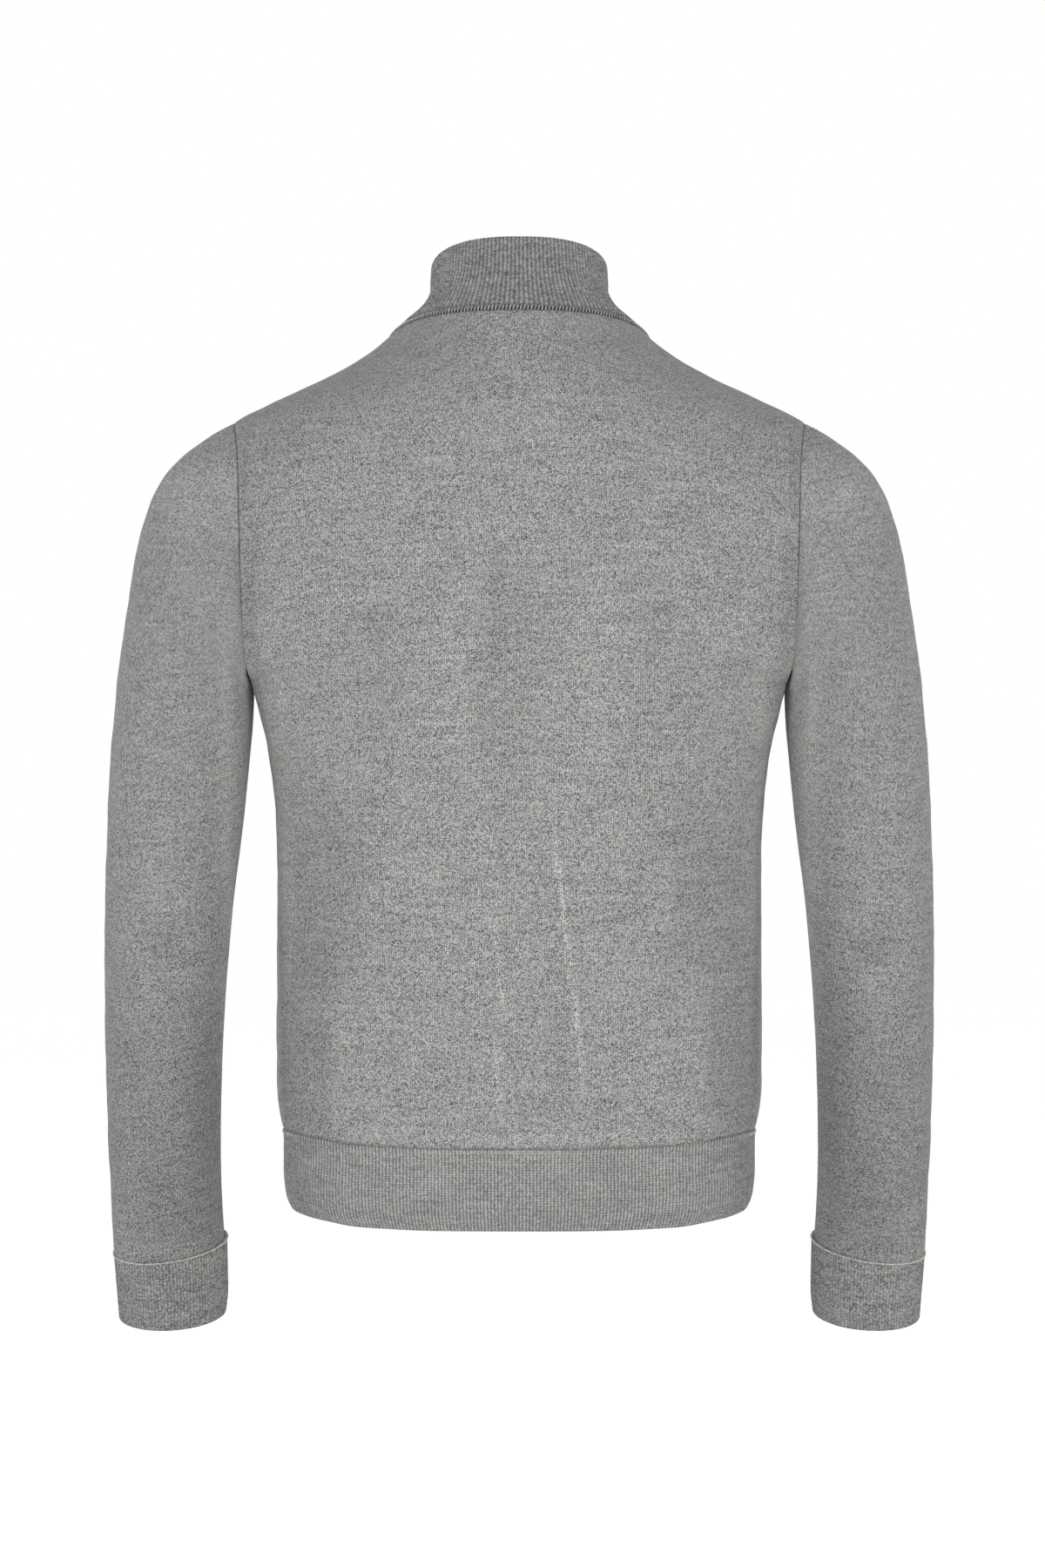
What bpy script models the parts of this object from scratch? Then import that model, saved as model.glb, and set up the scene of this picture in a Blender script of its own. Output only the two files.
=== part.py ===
"""A zip-up cardigan in fine knit, filled out and hanging as it is worn, with nobody in it.

Every cloth piece is a thin wall on one shared form: level sections make the body, rings make the
sleeves and cuffs, and the collar stands between the neckline and a tilted ring. Neighbouring pieces
share the points of their seam and stand a small gap apart there.

+Z is up and -Y is the front, so the wearer's left is +X. The origin is the middle of the neck, level
with the inner ends of the shoulder seams. Sizes are in millimetres and are turned to metres where a
mesh is made.
"""

import math
from typing import NamedTuple

import bpy
import numpy as np

MM = 0.001

# Cloth walls and seams
SEAM_GAP = 0.3
KNIT_WALL = 1.5
RIB_WALL = 2.5

# Heights that the pieces share
SHOULDER_TIP_Z = -72.0
ARMPIT_Z = -266.0
HEM_SEAM_Z = -597.0
HEM_EDGE_Z = -657.0
HEM_DIP_BACK = 5.8
NECK_SIDE_Z = -6.9  # where the neck seam meets the shoulder seams
NECK_SLOPE = 22.1  # how steeply it runs on from there, up to the back and down to the front
NECK_BEND_BACK = 10.2  # how much it levels off towards the middle of the back
NECK_DROP_FRONT = 56.0

# Collar: its top is a tilted ring that dips further at the front
COLLAR_HALF_WIDTH = 65.5
COLLAR_SQUARE = 2.45
COLLAR_BACK_Y = 60.0
COLLAR_FRONT_Y = -71.0
COLLAR_BACK_TOP_Z = 58.5
COLLAR_TILT = math.radians(14.5)
COLLAR_FRONT_DIP = 18.0
NECK_SCOOP_POWER = 4  # how late the front neckline and the collar's top turn down to the middle

# Cuffs
CUFF_LENGTH = 50.0
CUFF_STEP = 2.0  # how far the double cuff stands proud of the sleeve on its inner side

# Sleeves
ARMHOLE_FADE = 110.0  # how far down the sleeve the armhole's own shape has gone

# Zip
OPENING_HALF_WIDTH = 5.5
TAPE_WALL = 1.0
TAPE_BEHIND_KNIT = 0.5
TAPE_INNER_X = 3.0
TAPE_MIDDLE_X = 8.0
TAPE_OUTER_X = 14.0
TAPE_END_SETBACK = 2.0
CHAIN_WALL = 2.4
CHAIN_HALF_WIDTH = 2.7
CHAIN_GAP = 0.3
ZIP_CLEARANCE = 0.3
SLIDER_BELOW_TOP = 12.0
SLIDER_WIDTH, SLIDER_LENGTH, SLIDER_PLATE = 8.4, 10.0, 1.1
DIAMOND_LENGTH = 2.5
STOP_LENGTH = 3.0
STOP_INNER_X = 0.9
BOX_WIDTH, BOX_LENGTH, BOX_THICKNESS = 7.6, 7.0, 4.8
BOX_SETBACK = 1.0
BRIDGE_WIDTH, BRIDGE_LENGTH, BRIDGE_HEIGHT = 1.6, 8.0, 3.3
BRIDGE_EYE_LENGTH, BRIDGE_EYE_HEIGHT = 5.2, 2.3
PULL_WIDTH, PULL_LENGTH, PULL_THICKNESS = 6.4, 24.0, 1.2
PULL_BAR = 1.2
PULL_EYE_WIDTH, PULL_EYE_LENGTH = 3.4, 5.2
SMALL_BEVEL = 0.25

# How finely the cloth is divided. Columns run up the body. The ones beside a side seam meet the
# armhole along its foot and its head, at these angles round it from the shoulder's tip, and the
# armhole's sides are crossed by level rows at the middle angles. Narrow strips beside the cut edges
# keep the wall there square to the form.
HEAD_ANGLES = (0.0, 3.2, 16.4, 32.7, 49.1)
SIDE_ANGLES = (49.1, 65.5, 81.8, 98.2, 114.5, 130.9)
FOOT_ANGLES = (180.0, 176.8, 163.6, 147.3, 130.9)
BACK_FRACTIONS = (0, 0.013, 0.11, 0.22, 0.32, 0.41, 0.5, 0.59, 0.68, 0.78, 0.89, 0.987, 1)
FRONT_FRACTIONS = (0, 0.026, 0.22, 0.44, 0.64, 0.82, 0.987, 1)
LOWER_SHARES = (0, 0.011, 0.035, 0.065, 0.12, 0.23, 0.36, 0.49, 0.63, 0.77, 0.89, 0.989, 1)
SHOULDER_SHARES = (0, 0.06, 0.36, 0.68, 0.94, 1)
COLLAR_SHARES = (0, 0.07, 0.26, 0.56, 0.93, 1)
HEM_SHARES = (0, 0.07, 0.25, 0.93, 1)
CUFF_SHARES = (0, 0.08, 0.35, 0.92, 1)
SLEEVE_ROWS = (0, 9, 24, 46, 75, 112, 160, 220, 295, 380, 470, 565, 656, 660)


class Section(NamedTuple):
    """A level section of the body: its height, half its width, how far its back and its front stand
    from the side line, and how square each of them is (2 is an ellipse)."""

    z: float
    half_width: float
    back: float
    front: float
    square_back: float
    square_front: float


BODY = (
    Section(-664, 163.0, 88, 105.5, 3.6, 2.9),
    Section(-656, 166.3, 90, 106.2, 3.6, 2.9),
    Section(-648, 170.8, 93, 106.8, 3.5, 2.9),
    Section(-634, 173.8, 95, 107.6, 3.3, 2.9),
    Section(-612, 174.6, 96, 108.5, 3.0, 2.9),
    Section(-597, 175.0, 97, 109, 3.0, 2.9),
    Section(-586, 177.4, 99, 112, 2.9, 2.8),
    Section(-570, 179.7, 101, 114, 2.8, 2.7),
    Section(-540, 180.2, 102, 116, 2.7, 2.6),
    Section(-470, 180.2, 102, 118, 2.6, 2.5),
    Section(-405, 180.0, 104, 122, 2.6, 2.5),
    Section(-350, 182.2, 108, 126, 2.55, 2.45),
    Section(-314, 187.3, 111, 128, 2.5, 2.45),
    Section(-289, 193.2, 113, 128, 2.45, 2.4),
    Section(-270, 198.0, 114, 127, 2.4, 2.4),
    Section(-266, 199.0, 114, 127, 2.4, 2.4),
    Section(-256, 211.0, 114, 126, 2.4, 2.4),
    Section(-240, 226.0, 114, 125, 2.35, 2.35),
    Section(-215, 240.0, 113, 123, 2.3, 2.3),
    Section(-170, 250.0, 111, 116, 2.2, 2.2),
    Section(-135, 248.0, 108, 109.2, 2.2, 2.2),
    Section(-105, 240.0, 104, 101.4, 2.15, 2.15),
    Section(-85, 227.0, 99, 94, 2.1, 2.1),
    Section(-72, 212.0, 95, 90.5, 2.1, 2.1),
    Section(-54.6, 178.2, 89, 85, 2.05, 2.05),
    Section(-41.6, 149.6, 84, 81, 2.0, 2.0),
    Section(-28.6, 125.0, 79, 77.5, 2.0, 2.0),
    Section(-15.6, 105.8, 73.5, 75, 2.0, 2.0),
    Section(0, 89.0, 68, 73, 2.0, 2.0),
    Section(6, 83.0, 66, 72, 2.0, 2.0),
)


class ArmholeSeam(NamedTuple):
    """How far from the centre line the armhole seam lies at a height, on the back and on the front."""

    z: float
    back_x: float
    front_x: float


ARMHOLE = (
    ArmholeSeam(-266, 199.0, 199.0),
    ArmholeSeam(-256, 200.4, 197.5),
    ArmholeSeam(-240, 201.2, 195.5),
    ArmholeSeam(-215, 202.0, 193.5),
    ArmholeSeam(-170, 203.2, 193.5),
    ArmholeSeam(-135, 204.4, 196.5),
    ArmholeSeam(-105, 205.9, 203.0),
    ArmholeSeam(-85, 208.6, 208.0),
    ArmholeSeam(-72, 212.0, 212.0),
)


class Flare(NamedTuple):
    """How much of the way back out to the neckline the collar stands, at a share of its height, at
    the back and sides and at the front."""

    share: float
    back: float
    front: float


COLLAR_FLARE = (
    Flare(0, 1.0, 1.0),
    Flare(0.12, 0.79, 0.9),
    Flare(0.28, 0.4, 0.7),
    Flare(0.56, 0.05, 0.3),
    Flare(0.8, 0.02, 0.12),
    Flare(1, 0.0, 0.0),
)


class Ring(NamedTuple):
    """A ring of the sleeve: the distance from the shoulder along the outer line, its outer and its
    inner point, how far its middle lies towards the back, half its depth, and its forward tilt in
    degrees."""

    along: float
    outer_x: float
    outer_z: float
    inner_x: float
    inner_z: float
    middle_y: float
    half_depth: float
    tilt: float


SLEEVE = (
    Ring(0, 212.0, -72, 199.0, -266, -5, 71, 0),
    Ring(20, 229.0, -81, 199.3, -269, -5, 70, 0),
    Ring(43, 248.2, -94, 199.2, -274, -5, 69, 0),
    Ring(79, 270.4, -120, 198.8, -282, -4, 67, 0),
    Ring(109, 280.9, -148, 199.0, -291, -4, 65, 0),
    Ring(168, 291.9, -206, 201.2, -318, -3, 61, 0),
    Ring(252, 302.6, -289, 206.0, -366, -4, 58, 2),
    Ring(369, 309.3, -406, 215.5, -442, -9, 54, 6),
    Ring(499, 311.8, -536, 224.0, -548, -26, 48, 10),
    Ring(604, 311.2, -642, 227.0, -642, -50, 43, 11),
    Ring(660, 309.9, -698, 225.8, -687.5, -63, 41, 11.5),
)
CUFF_EDGE = Ring(660 + CUFF_LENGTH, 307.4, -749, 225.6, -746, -75, 38, 12)


class Finish(NamedTuple):
    """A material: its colour in linear light, its roughness and its metallic value."""

    name: str
    colour: tuple
    roughness: float
    metallic: float


MELANGE_KNIT = Finish("melange_knit", (0.30, 0.295, 0.285), 0.9, 0.0)
MELANGE_RIB = Finish("melange_rib", (0.26, 0.255, 0.245), 0.9, 0.0)
ZIP_TAPE = Finish("zip_tape", (0.18, 0.18, 0.18), 0.8, 0.0)
NICKEL = Finish("nickel_metal", (0.62, 0.60, 0.57), 0.3, 1.0)


def smooth(knots, values, at):
    """A smooth curve through the values at the knots, read at the places asked for."""
    knots, values = np.asarray(knots, float), np.asarray(values, float)
    at = np.clip(at, knots[0], knots[-1])
    step = np.diff(knots)
    slope = np.diff(values) / step
    inner = (step[:-1] * slope[1:] + step[1:] * slope[:-1]) / (step[:-1] + step[1:])
    tangent = np.concatenate([slope[:1], inner, slope[-1:]])
    i = np.clip(np.searchsorted(knots, at) - 1, 0, len(step) - 1)
    s = (at - knots[i]) / step[i]
    return (
        values[i] * (1 + 2 * s) * (1 - s) ** 2
        + values[i + 1] * s**2 * (3 - 2 * s)
        + step[i] * tangent[i] * s * (1 - s) ** 2
        + step[i] * tangent[i + 1] * s**2 * (s - 1)
    )


def column(table, name, at):
    """A table's named column, read smoothly along its first column."""
    return smooth([row[0] for row in table], [getattr(row, name) for row in table], at)


def body_point(turn, z):
    """The outer face of the body at a turn from the left side (0) through the back (a quarter turn)
    and the right side to the front, and at a height."""
    turn, z = np.broadcast_arrays(np.asarray(turn, float), np.asarray(z, float))
    cos, sin = np.cos(turn), np.sin(turn)
    at_back = sin >= 0
    power = 2 / np.where(at_back, column(BODY, "square_back", z), column(BODY, "square_front", z))
    depth = np.where(at_back, column(BODY, "back", z), column(BODY, "front", z))
    x = column(BODY, "half_width", z) * np.sign(cos) * np.abs(cos) ** power
    y = depth * np.sign(sin) * np.abs(sin) ** power
    return np.stack([x, y, z], axis=-1)


def neckline_z(turn):
    """The height of the neck seam at a turn: a little up at the back, and scooped at the front."""
    sin = np.sin(turn)
    scoop = NECK_DROP_FRONT + NECK_SIDE_Z - NECK_SLOPE
    bend = np.where(sin >= 0, NECK_BEND_BACK * sin**2, scoop * sin**NECK_SCOOP_POWER)
    return NECK_SIDE_Z + NECK_SLOPE * sin - bend


def hem_dip(turn):
    """How far the hem and its seam dip below their height at the sides, at a turn."""
    share = np.clip((np.clip(np.sin(turn), 0, 1) ** 2 - 0.3) / 0.5, 0, 1)
    return HEM_DIP_BACK * share * share * (3 - 2 * share)


def turn_at_x(x, z, side):
    """The turn at which the body is x from its centre line at a height, on its back or front."""
    share = np.clip(x / column(BODY, "half_width", z), 0, 1)
    turn = np.arccos(share ** (column(BODY, "square_" + side, z) / 2))
    return turn if side == "back" else -turn


def armhole(angles, side):
    """The turns and heights of the armhole's points at angles from the shoulder's tip."""
    middle, half = (SHOULDER_TIP_Z + ARMPIT_Z) / 2, (SHOULDER_TIP_Z - ARMPIT_Z) / 2
    heights = middle + half * np.cos(np.radians(angles))
    turns = turn_at_x(column(ARMHOLE, side + "_x", heights), heights, side)
    ends = np.isin(angles, (0.0, 180.0))
    return np.where(ends, 0, turns), heights


def across(side, edge, opening=None):
    """The turns of a row: the edge columns beside the side seam, and on to the far edge columns on
    the back, or to the opening on a front."""
    if side == "back":
        inner = edge[-1] + (math.pi - 2 * edge[-1]) * np.array(BACK_FRACTIONS)
        return np.concatenate([edge[:-1], inner, math.pi - edge[-2::-1]])
    inner = edge[-1] + (opening - edge[-1]) * np.array(FRONT_FRACTIONS)
    return np.concatenate([edge[:-1], inner])


def opening_turn(z):
    """The turn of the front opening's edge at a height of the body."""
    return turn_at_x(OPENING_HALF_WIDTH, z, "front")


def panel(side):
    """A body panel as rows of columns, with no points inside the bite of an armhole."""
    reach = len(FOOT_ANGLES) - 1
    foot_turns, foot_z = armhole(FOOT_ANGLES, side)
    head_turns, head_z = armhole(HEAD_ANGLES, side)
    side_turns, side_z = armhole(SIDE_ANGLES[-2:0:-1], side)

    def heights(edge_z, count):
        """The heights along a row that follows the armhole's points at its ends."""
        z = np.full(count, edge_z[-1])
        z[:reach] = edge_z[:-1]
        if side == "back":
            z[-reach:] = edge_z[-2::-1]
        return z

    rows = []
    for share in LOWER_SHARES:
        level = HEM_SEAM_Z + (foot_z[-1] - HEM_SEAM_Z) * share
        turns = across(side, foot_turns, opening_turn(level))
        top, bottom = heights(foot_z, len(turns)), HEM_SEAM_Z - hem_dip(turns)
        rows.append(body_point(turns, bottom + (top - bottom) * share))
    for turn, level in zip(side_turns, side_z):
        edge = np.full(len(FOOT_ANGLES), turn)
        row = body_point(across(side, edge, opening_turn(level)), level)
        row[:reach] = np.nan
        if side == "back":
            row[-reach:] = np.nan
        rows.append(row)
    for share in SHOULDER_SHARES:
        level = head_z[-1] + (-NECK_DROP_FRONT - head_z[-1]) * share
        turns = across(side, head_turns, opening_turn(level))
        bottom = heights(head_z, len(turns))
        rows.append(body_point(turns, bottom + (neckline_z(turns) - bottom) * share))
    return np.array(rows)


def mirrored(grid):
    """The grid on the other side of the centre line, with its faces still outwards."""
    return (grid * (-1, 1, 1))[:, ::-1]


def front_panel():
    """The left front, from the zip round to its side seam."""
    return panel("front")[:, ::-1]


def girdle(point, angles, shares, opening):
    """Rows right round the body, open at the front, on the columns of the panels. point gives the
    face at a turn and a share, and opening gives the turn of the opening's edge at a share."""
    back_edge, front_edge = armhole(angles, "back")[0], armhole(angles, "front")[0]
    rows = []
    for share in shares:
        back = across("back", back_edge)
        front = across("front", front_edge, opening(share))
        turns = np.concatenate([front[:0:-1], back, math.pi - front[1:]])
        rows.append(point(turns, share))
    return np.array(rows)


def hem_rows():
    """The rib band round the hem, from its edge up to its seam."""

    def point(turn, share):
        return body_point(turn, HEM_EDGE_Z + (HEM_SEAM_Z - HEM_EDGE_Z) * share - hem_dip(turn))

    def opening(share):
        return opening_turn(HEM_EDGE_Z + (HEM_SEAM_Z - HEM_EDGE_Z) * share)

    return girdle(point, FOOT_ANGLES, HEM_SHARES, opening)


def collar_point(turn, share):
    """The collar's outer face at a turn, and at a share of the way from its seam to its top."""
    seam = body_point(turn, neckline_z(turn))
    middle, half = (COLLAR_BACK_Y + COLLAR_FRONT_Y) / 2, (COLLAR_BACK_Y - COLLAR_FRONT_Y) / 2
    frontness = np.clip(-np.sin(turn), 0, 1)
    cos, sin = np.cos(turn), np.sin(turn)
    top_x = COLLAR_HALF_WIDTH * np.sign(cos) * np.abs(cos) ** (2 / COLLAR_SQUARE)
    top_y = middle + half * np.sign(sin) * np.abs(sin) ** (2 / COLLAR_SQUARE)
    dip = COLLAR_FRONT_DIP * frontness**NECK_SCOOP_POWER
    top_z = COLLAR_BACK_TOP_Z - (COLLAR_BACK_Y - top_y) * math.tan(COLLAR_TILT) - dip
    at_back, at_front = (float(column(COLLAR_FLARE, name, share)) for name in ("back", "front"))
    flare = at_back + (at_front - at_back) * frontness
    x = top_x + (seam[..., 0] - top_x) * flare
    y = top_y + (seam[..., 1] - top_y) * flare
    z = seam[..., 2] + (top_z - seam[..., 2]) * share
    return np.stack([x, y, z], axis=-1)


def collar_opening(share):
    """The turn of the opening's edge on the collar."""
    turns = np.radians(np.linspace(-90, -70, 200))
    return float(np.interp(OPENING_HALF_WIDTH, collar_point(turns, share)[:, 0], turns))


def collar_rows():
    """The standing collar, from its seam up to its top edge."""
    return girdle(collar_point, HEAD_ANGLES, COLLAR_SHARES, collar_opening)


def inset(grid, closed=False):
    """Moves each edge point half a seam gap inwards, so that neighbours stand a gap apart."""
    wide = np.pad(grid, ((0, 0), (1, 1), (0, 0)), mode="wrap")
    if not closed:
        wide[:, 0] = wide[:, -1] = np.nan
    wide = np.pad(wide, ((1, 1), (0, 0), (0, 0)), constant_values=np.nan)
    rows, columns, _ = grid.shape

    def beside(up, over):
        return wide[1 + up : 1 + up + rows, 1 + over : 1 + over + columns]

    def real(points):
        return ~np.isnan(points[..., 0])

    moved = grid.copy()
    straight = ((0, 1), (0, -1), (1, 0), (-1, 0))
    inner_corner = real(grid)
    for up, over in straight:
        inner_corner &= real(beside(up, over))
    for up, over in (*straight, (1, 1), (1, -1), (-1, 1), (-1, -1)):
        edge = real(grid) & real(beside(up, over)) & ~real(beside(-up, -over))
        if up and over:
            edge &= inner_corner
        way = (beside(up, over) - grid)[edge]
        moved[edge] += way / np.linalg.norm(way, axis=-1, keepdims=True) * SEAM_GAP / 2
    return moved


def ring_point(ring, turn):
    """A point of a sleeve ring at a turn from its outer point through the back to its inner point."""
    outer = np.array([ring.outer_x, 0, ring.outer_z])
    inner = np.array([ring.inner_x, 0, ring.inner_z])
    tilt = math.radians(ring.tilt)
    deep = ring.half_depth * np.array([0, math.cos(tilt), -math.sin(tilt)])
    middle = (outer + inner) / 2 + (0, ring.middle_y, 0)
    across_ring = (outer - inner) / 2
    return middle + np.cos(turn)[..., None] * across_ring + np.sin(turn)[..., None] * deep


def sleeve_ring(along):
    """The ring at a distance along the sleeve, read smoothly between the table's rows."""
    at = [column(SLEEVE, name, along) for name in Ring._fields[1:]]
    return Ring(along, *(float(value) for value in at))


def loop_angles():
    """The angles of the points round half an armhole, from the shoulder's tip to the armpit."""
    return np.array([*HEAD_ANGLES[:-1], *SIDE_ANGLES, *FOOT_ANGLES[-2::-1]])


def ring_turns():
    """The turns of a sleeve ring's points, one for each point of the armhole."""
    half = np.radians(loop_angles())
    return np.concatenate([half, 2 * math.pi - half[-2:0:-1]])


def armhole_loop():
    """The armhole's points on the body, down its back from the shoulder and up its front."""
    back = body_point(*armhole(loop_angles(), "back"))
    front = body_point(*armhole(loop_angles(), "front"))
    return np.concatenate([back, front[-2:0:-1]])


def sleeve_rows():
    """The left sleeve as closed rings, from the seam of its cuff up to its armhole."""
    turns = ring_turns()
    off_ring = armhole_loop() + (SEAM_GAP, 0, 0) - ring_point(SLEEVE[0], turns)
    rows = []
    for along in SLEEVE_ROWS[::-1]:
        fade = max(0.0, 1 - along / ARMHOLE_FADE) ** 2
        rows.append(ring_point(sleeve_ring(along), turns) + off_ring * fade)
    return np.array(rows)


def cuff_rows():
    """The left cuff as closed rings, from its edge up to its seam, a step proud of the sleeve."""
    top, bottom = np.array(SLEEVE[-1]), np.array(CUFF_EDGE)
    rows = []
    for share in CUFF_SHARES:
        ring = Ring(*(bottom + (top - bottom) * share))
        proud = CUFF_STEP * min(1, 4 * share)
        ring = ring._replace(
            inner_x=ring.inner_x - proud,
            half_depth=ring.half_depth + proud / 2,
        )
        rows.append(ring_point(ring, ring_turns()))
    return np.array(rows)


class ZipPath:
    """The left edge of the front opening, from the hem's edge up to the collar's top, and the cloth
    beside it, read by distance from the hem's edge."""

    def __init__(self):
        front, half = front_panel(), len(HEAD_ANGLES) + len(FRONT_FRACTIONS) - 1
        hem, collar = hem_rows()[:, :half], collar_rows()[:, :half]
        self.rows = [*hem, *front[1:], *collar[1:]]
        rib = RIB_WALL + TAPE_BEHIND_KNIT
        knit = KNIT_WALL + TAPE_BEHIND_KNIT
        behind = [rib] * (len(hem) + 1) + [knit] * (len(front) - 4) + [rib] * (len(collar) + 1)
        self.behind = np.array(behind)
        self.line = np.array([row[0] for row in self.rows]) * (0, 1, 1)
        steps = np.linalg.norm(np.diff(self.line, axis=0), axis=1)
        self.along = np.concatenate([[0], np.cumsum(steps)])
        self.length = float(self.along[-1])

    def read(self, values, distance):
        """Values given at the rows, read at a distance."""
        return np.array([np.interp(distance, self.along, column) for column in np.array(values).T])

    def slope(self, distance):
        """The angle that the path leans back from upright at a distance, in radians."""
        a, b = self.read(self.line, distance - 2), self.read(self.line, distance + 2)
        return math.atan2(b[1] - a[1], b[2] - a[2])

    def point(self, distance, depth, x=0.0):
        """The place x from the centre line, at a depth behind the face of the zip's tape."""
        beside = [[np.interp(x, row[:, 0], row[:, k]) for k in (1, 2)] for row in self.rows]
        y, z = self.read(beside, distance)
        lean = self.slope(distance)
        deep = float(np.interp(distance, self.along, self.behind)) + depth
        return np.array([x, y + deep * math.cos(lean), z - deep * math.sin(lean)])

    def strip(self, start, end, columns, depth):
        """A grid that follows the path at a depth behind the tape's face, with columns at each x."""
        inside = [d for d in self.along if start + 1 < d < end - 1]
        return np.array([[self.point(d, depth, x) for x in columns] for d in [start, *inside, end]])


def material(finish):
    """The finish as a Blender material, made once."""
    found = bpy.data.materials.get(finish.name)
    if found:
        return found
    made = bpy.data.materials.new(finish.name)
    made.use_nodes = True
    shader = made.node_tree.nodes["Principled BSDF"]
    shader.inputs["Base Color"].default_value = (*finish.colour, 1)
    shader.inputs["Roughness"].default_value = finish.roughness
    shader.inputs["Metallic"].default_value = finish.metallic
    made.diffuse_color = (*finish.colour, 1)
    return made


def collection(name):
    """A new collection in the scene."""
    made = bpy.data.collections.new(name)
    bpy.context.scene.collection.children.link(made)
    return made


def adopt(obj, name, home, finish=None):
    """Names an object, moves it to its collection and gives it its finish."""
    obj.name = obj.data.name = name
    for old in obj.users_collection:
        old.objects.unlink(obj)
    home.objects.link(obj)
    if finish:
        obj.data.materials.clear()
        obj.data.materials.append(material(finish))
    return obj


def wall(name, grid, thickness, home, finish, closed=False):
    """A grid of rows as an open sheet with its thickness inwards, with no faces where points are
    missing. closed joins each row's ends."""
    rows, columns, _ = grid.shape
    real = ~np.isnan(grid[..., 0])
    number = np.cumsum(real.ravel()).reshape(real.shape) - 1
    faces = []
    for row in range(rows - 1):
        for here in range(columns if closed else columns - 1):
            there = (here + 1) % columns
            corners = ((row, here), (row, there), (row + 1, there), (row + 1, here))
            if all(real[corner] for corner in corners):
                faces.append([int(number[corner]) for corner in corners])
    mesh = bpy.data.meshes.new(name)
    mesh.from_pydata((grid[real] * MM).tolist(), [], faces)
    mesh.shade_smooth()
    obj = adopt(bpy.data.objects.new(name, mesh), name, home, finish)
    solidify = obj.modifiers.new("wall", "SOLIDIFY")
    solidify.thickness = thickness * MM
    solidify.offset = -1
    solidify.use_even_offset = True
    solidify.use_rim = True
    return obj


def block(name, size, centre, home, finish=None, bevel=0.0):
    """A box of a size about a centre, in millimetres, with its edges bevelled."""
    bpy.ops.mesh.primitive_cube_add(size=1)
    obj = adopt(bpy.context.object, name, home, finish)
    for vertex in obj.data.vertices:
        vertex.co = [MM * (c + s * v) for c, s, v in zip(centre, size, vertex.co)]
    if bevel:
        edges = obj.modifiers.new("bevel", "BEVEL")
        edges.width = bevel * MM
        edges.segments = 2
    return obj


def cut(obj, cutter):
    """Takes the cutter out of the object, and leaves the cutter out of renders."""
    boolean = obj.modifiers.new("cut", "BOOLEAN")
    boolean.operation = "DIFFERENCE"
    boolean.object = cutter
    cutter.hide_render = True
    cutter.display_type = "WIRE"


def join(obj, other):
    """Joins the other shape onto the object, and leaves the other out of renders."""
    boolean = obj.modifiers.new("join", "BOOLEAN")
    boolean.operation = "UNION"
    boolean.object = other
    other.hide_render = True
    other.display_type = "WIRE"


def place(objects, origin, slope):
    """Sets objects made about the origin at a place on the zip, leaning back with it."""
    for obj in objects:
        obj.location = [MM * value for value in origin]
        obj.rotation_euler = (-slope, 0, 0)


def tape_slots(name, width, length, cutters):
    """Cutters for the two slots that the zip's tape runs through, beside a block's middle."""
    slot = TAPE_WALL + 2 * ZIP_CLEARANCE
    reach = width / 2 - TAPE_INNER_X + 2
    centre_x = TAPE_INNER_X - ZIP_CLEARANCE + reach / 2
    return [
        block(f"{name}_slot_{side}", (reach, slot, length + 2), (hand * centre_x, 0, 0), cutters)
        for side, hand in (("left", 1), ("right", -1))
    ]


def make_slider(path, home, cutters):
    """The slider: two plates held by the diamond, with a bridge on the front for the pull."""
    channel = CHAIN_WALL + 2 * ZIP_CLEARANCE
    thick = channel + 2 * SLIDER_PLATE
    body = block("zip_slider", (SLIDER_WIDTH, thick, SLIDER_LENGTH), (0, 0, 0), home, NICKEL, 0.5)
    mouth = SLIDER_LENGTH - DIAMOND_LENGTH
    bore = block(
        "slider_channel",
        (2 * (CHAIN_HALF_WIDTH + ZIP_CLEARANCE), channel, mouth + 1),
        (0, 0, -(SLIDER_LENGTH - mouth) / 2 - 0.5),
        cutters,
    )
    slots = tape_slots("slider", SLIDER_WIDTH, SLIDER_LENGTH, cutters)
    face = -thick / 2
    rise = BRIDGE_HEIGHT + 0.4
    bridge = block(
        "slider_bridge",
        (BRIDGE_WIDTH, rise, BRIDGE_LENGTH),
        (0, face + 0.4 - rise / 2, 0),
        cutters,
        bevel=SMALL_BEVEL,
    )
    eye = block(
        "slider_bridge_eye",
        (BRIDGE_WIDTH + 2, BRIDGE_EYE_HEIGHT, BRIDGE_EYE_LENGTH),
        (0, face - BRIDGE_EYE_HEIGHT / 2, 0),
        cutters,
    )
    cut(bridge, eye)
    for cutter in [bore, *slots]:
        cut(body, cutter)
    join(body, bridge)
    at = path.length - SLIDER_BELOW_TOP
    place([body, bore, bridge, eye, *slots], path.point(at, TAPE_WALL / 2), path.slope(at))
    return path.point(at, TAPE_WALL / 2 + face - BRIDGE_EYE_HEIGHT / 2), path.slope(at)


def rounded_outline(curve, width, top, bottom, radius):
    """A closed outline with round corners, as a spline of straight spans in the curve's XY plane."""
    corners = (
        (width / 2 - radius, top - radius, 0),
        (-width / 2 + radius, top - radius, 90),
        (-width / 2 + radius, bottom + radius, 180),
        (width / 2 - radius, bottom + radius, 270),
    )
    points = []
    for x, y, start in corners:
        for step in range(5):
            angle = math.radians(start + 22.5 * step)
            points.append((x + radius * math.cos(angle), y + radius * math.sin(angle)))
    spline = curve.splines.new("POLY")
    spline.points.add(len(points) - 1)
    for point, (x, y) in zip(spline.points, points):
        point.co = (x * MM, y * MM, 0, 1)
    spline.use_cyclic_u = True


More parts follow.
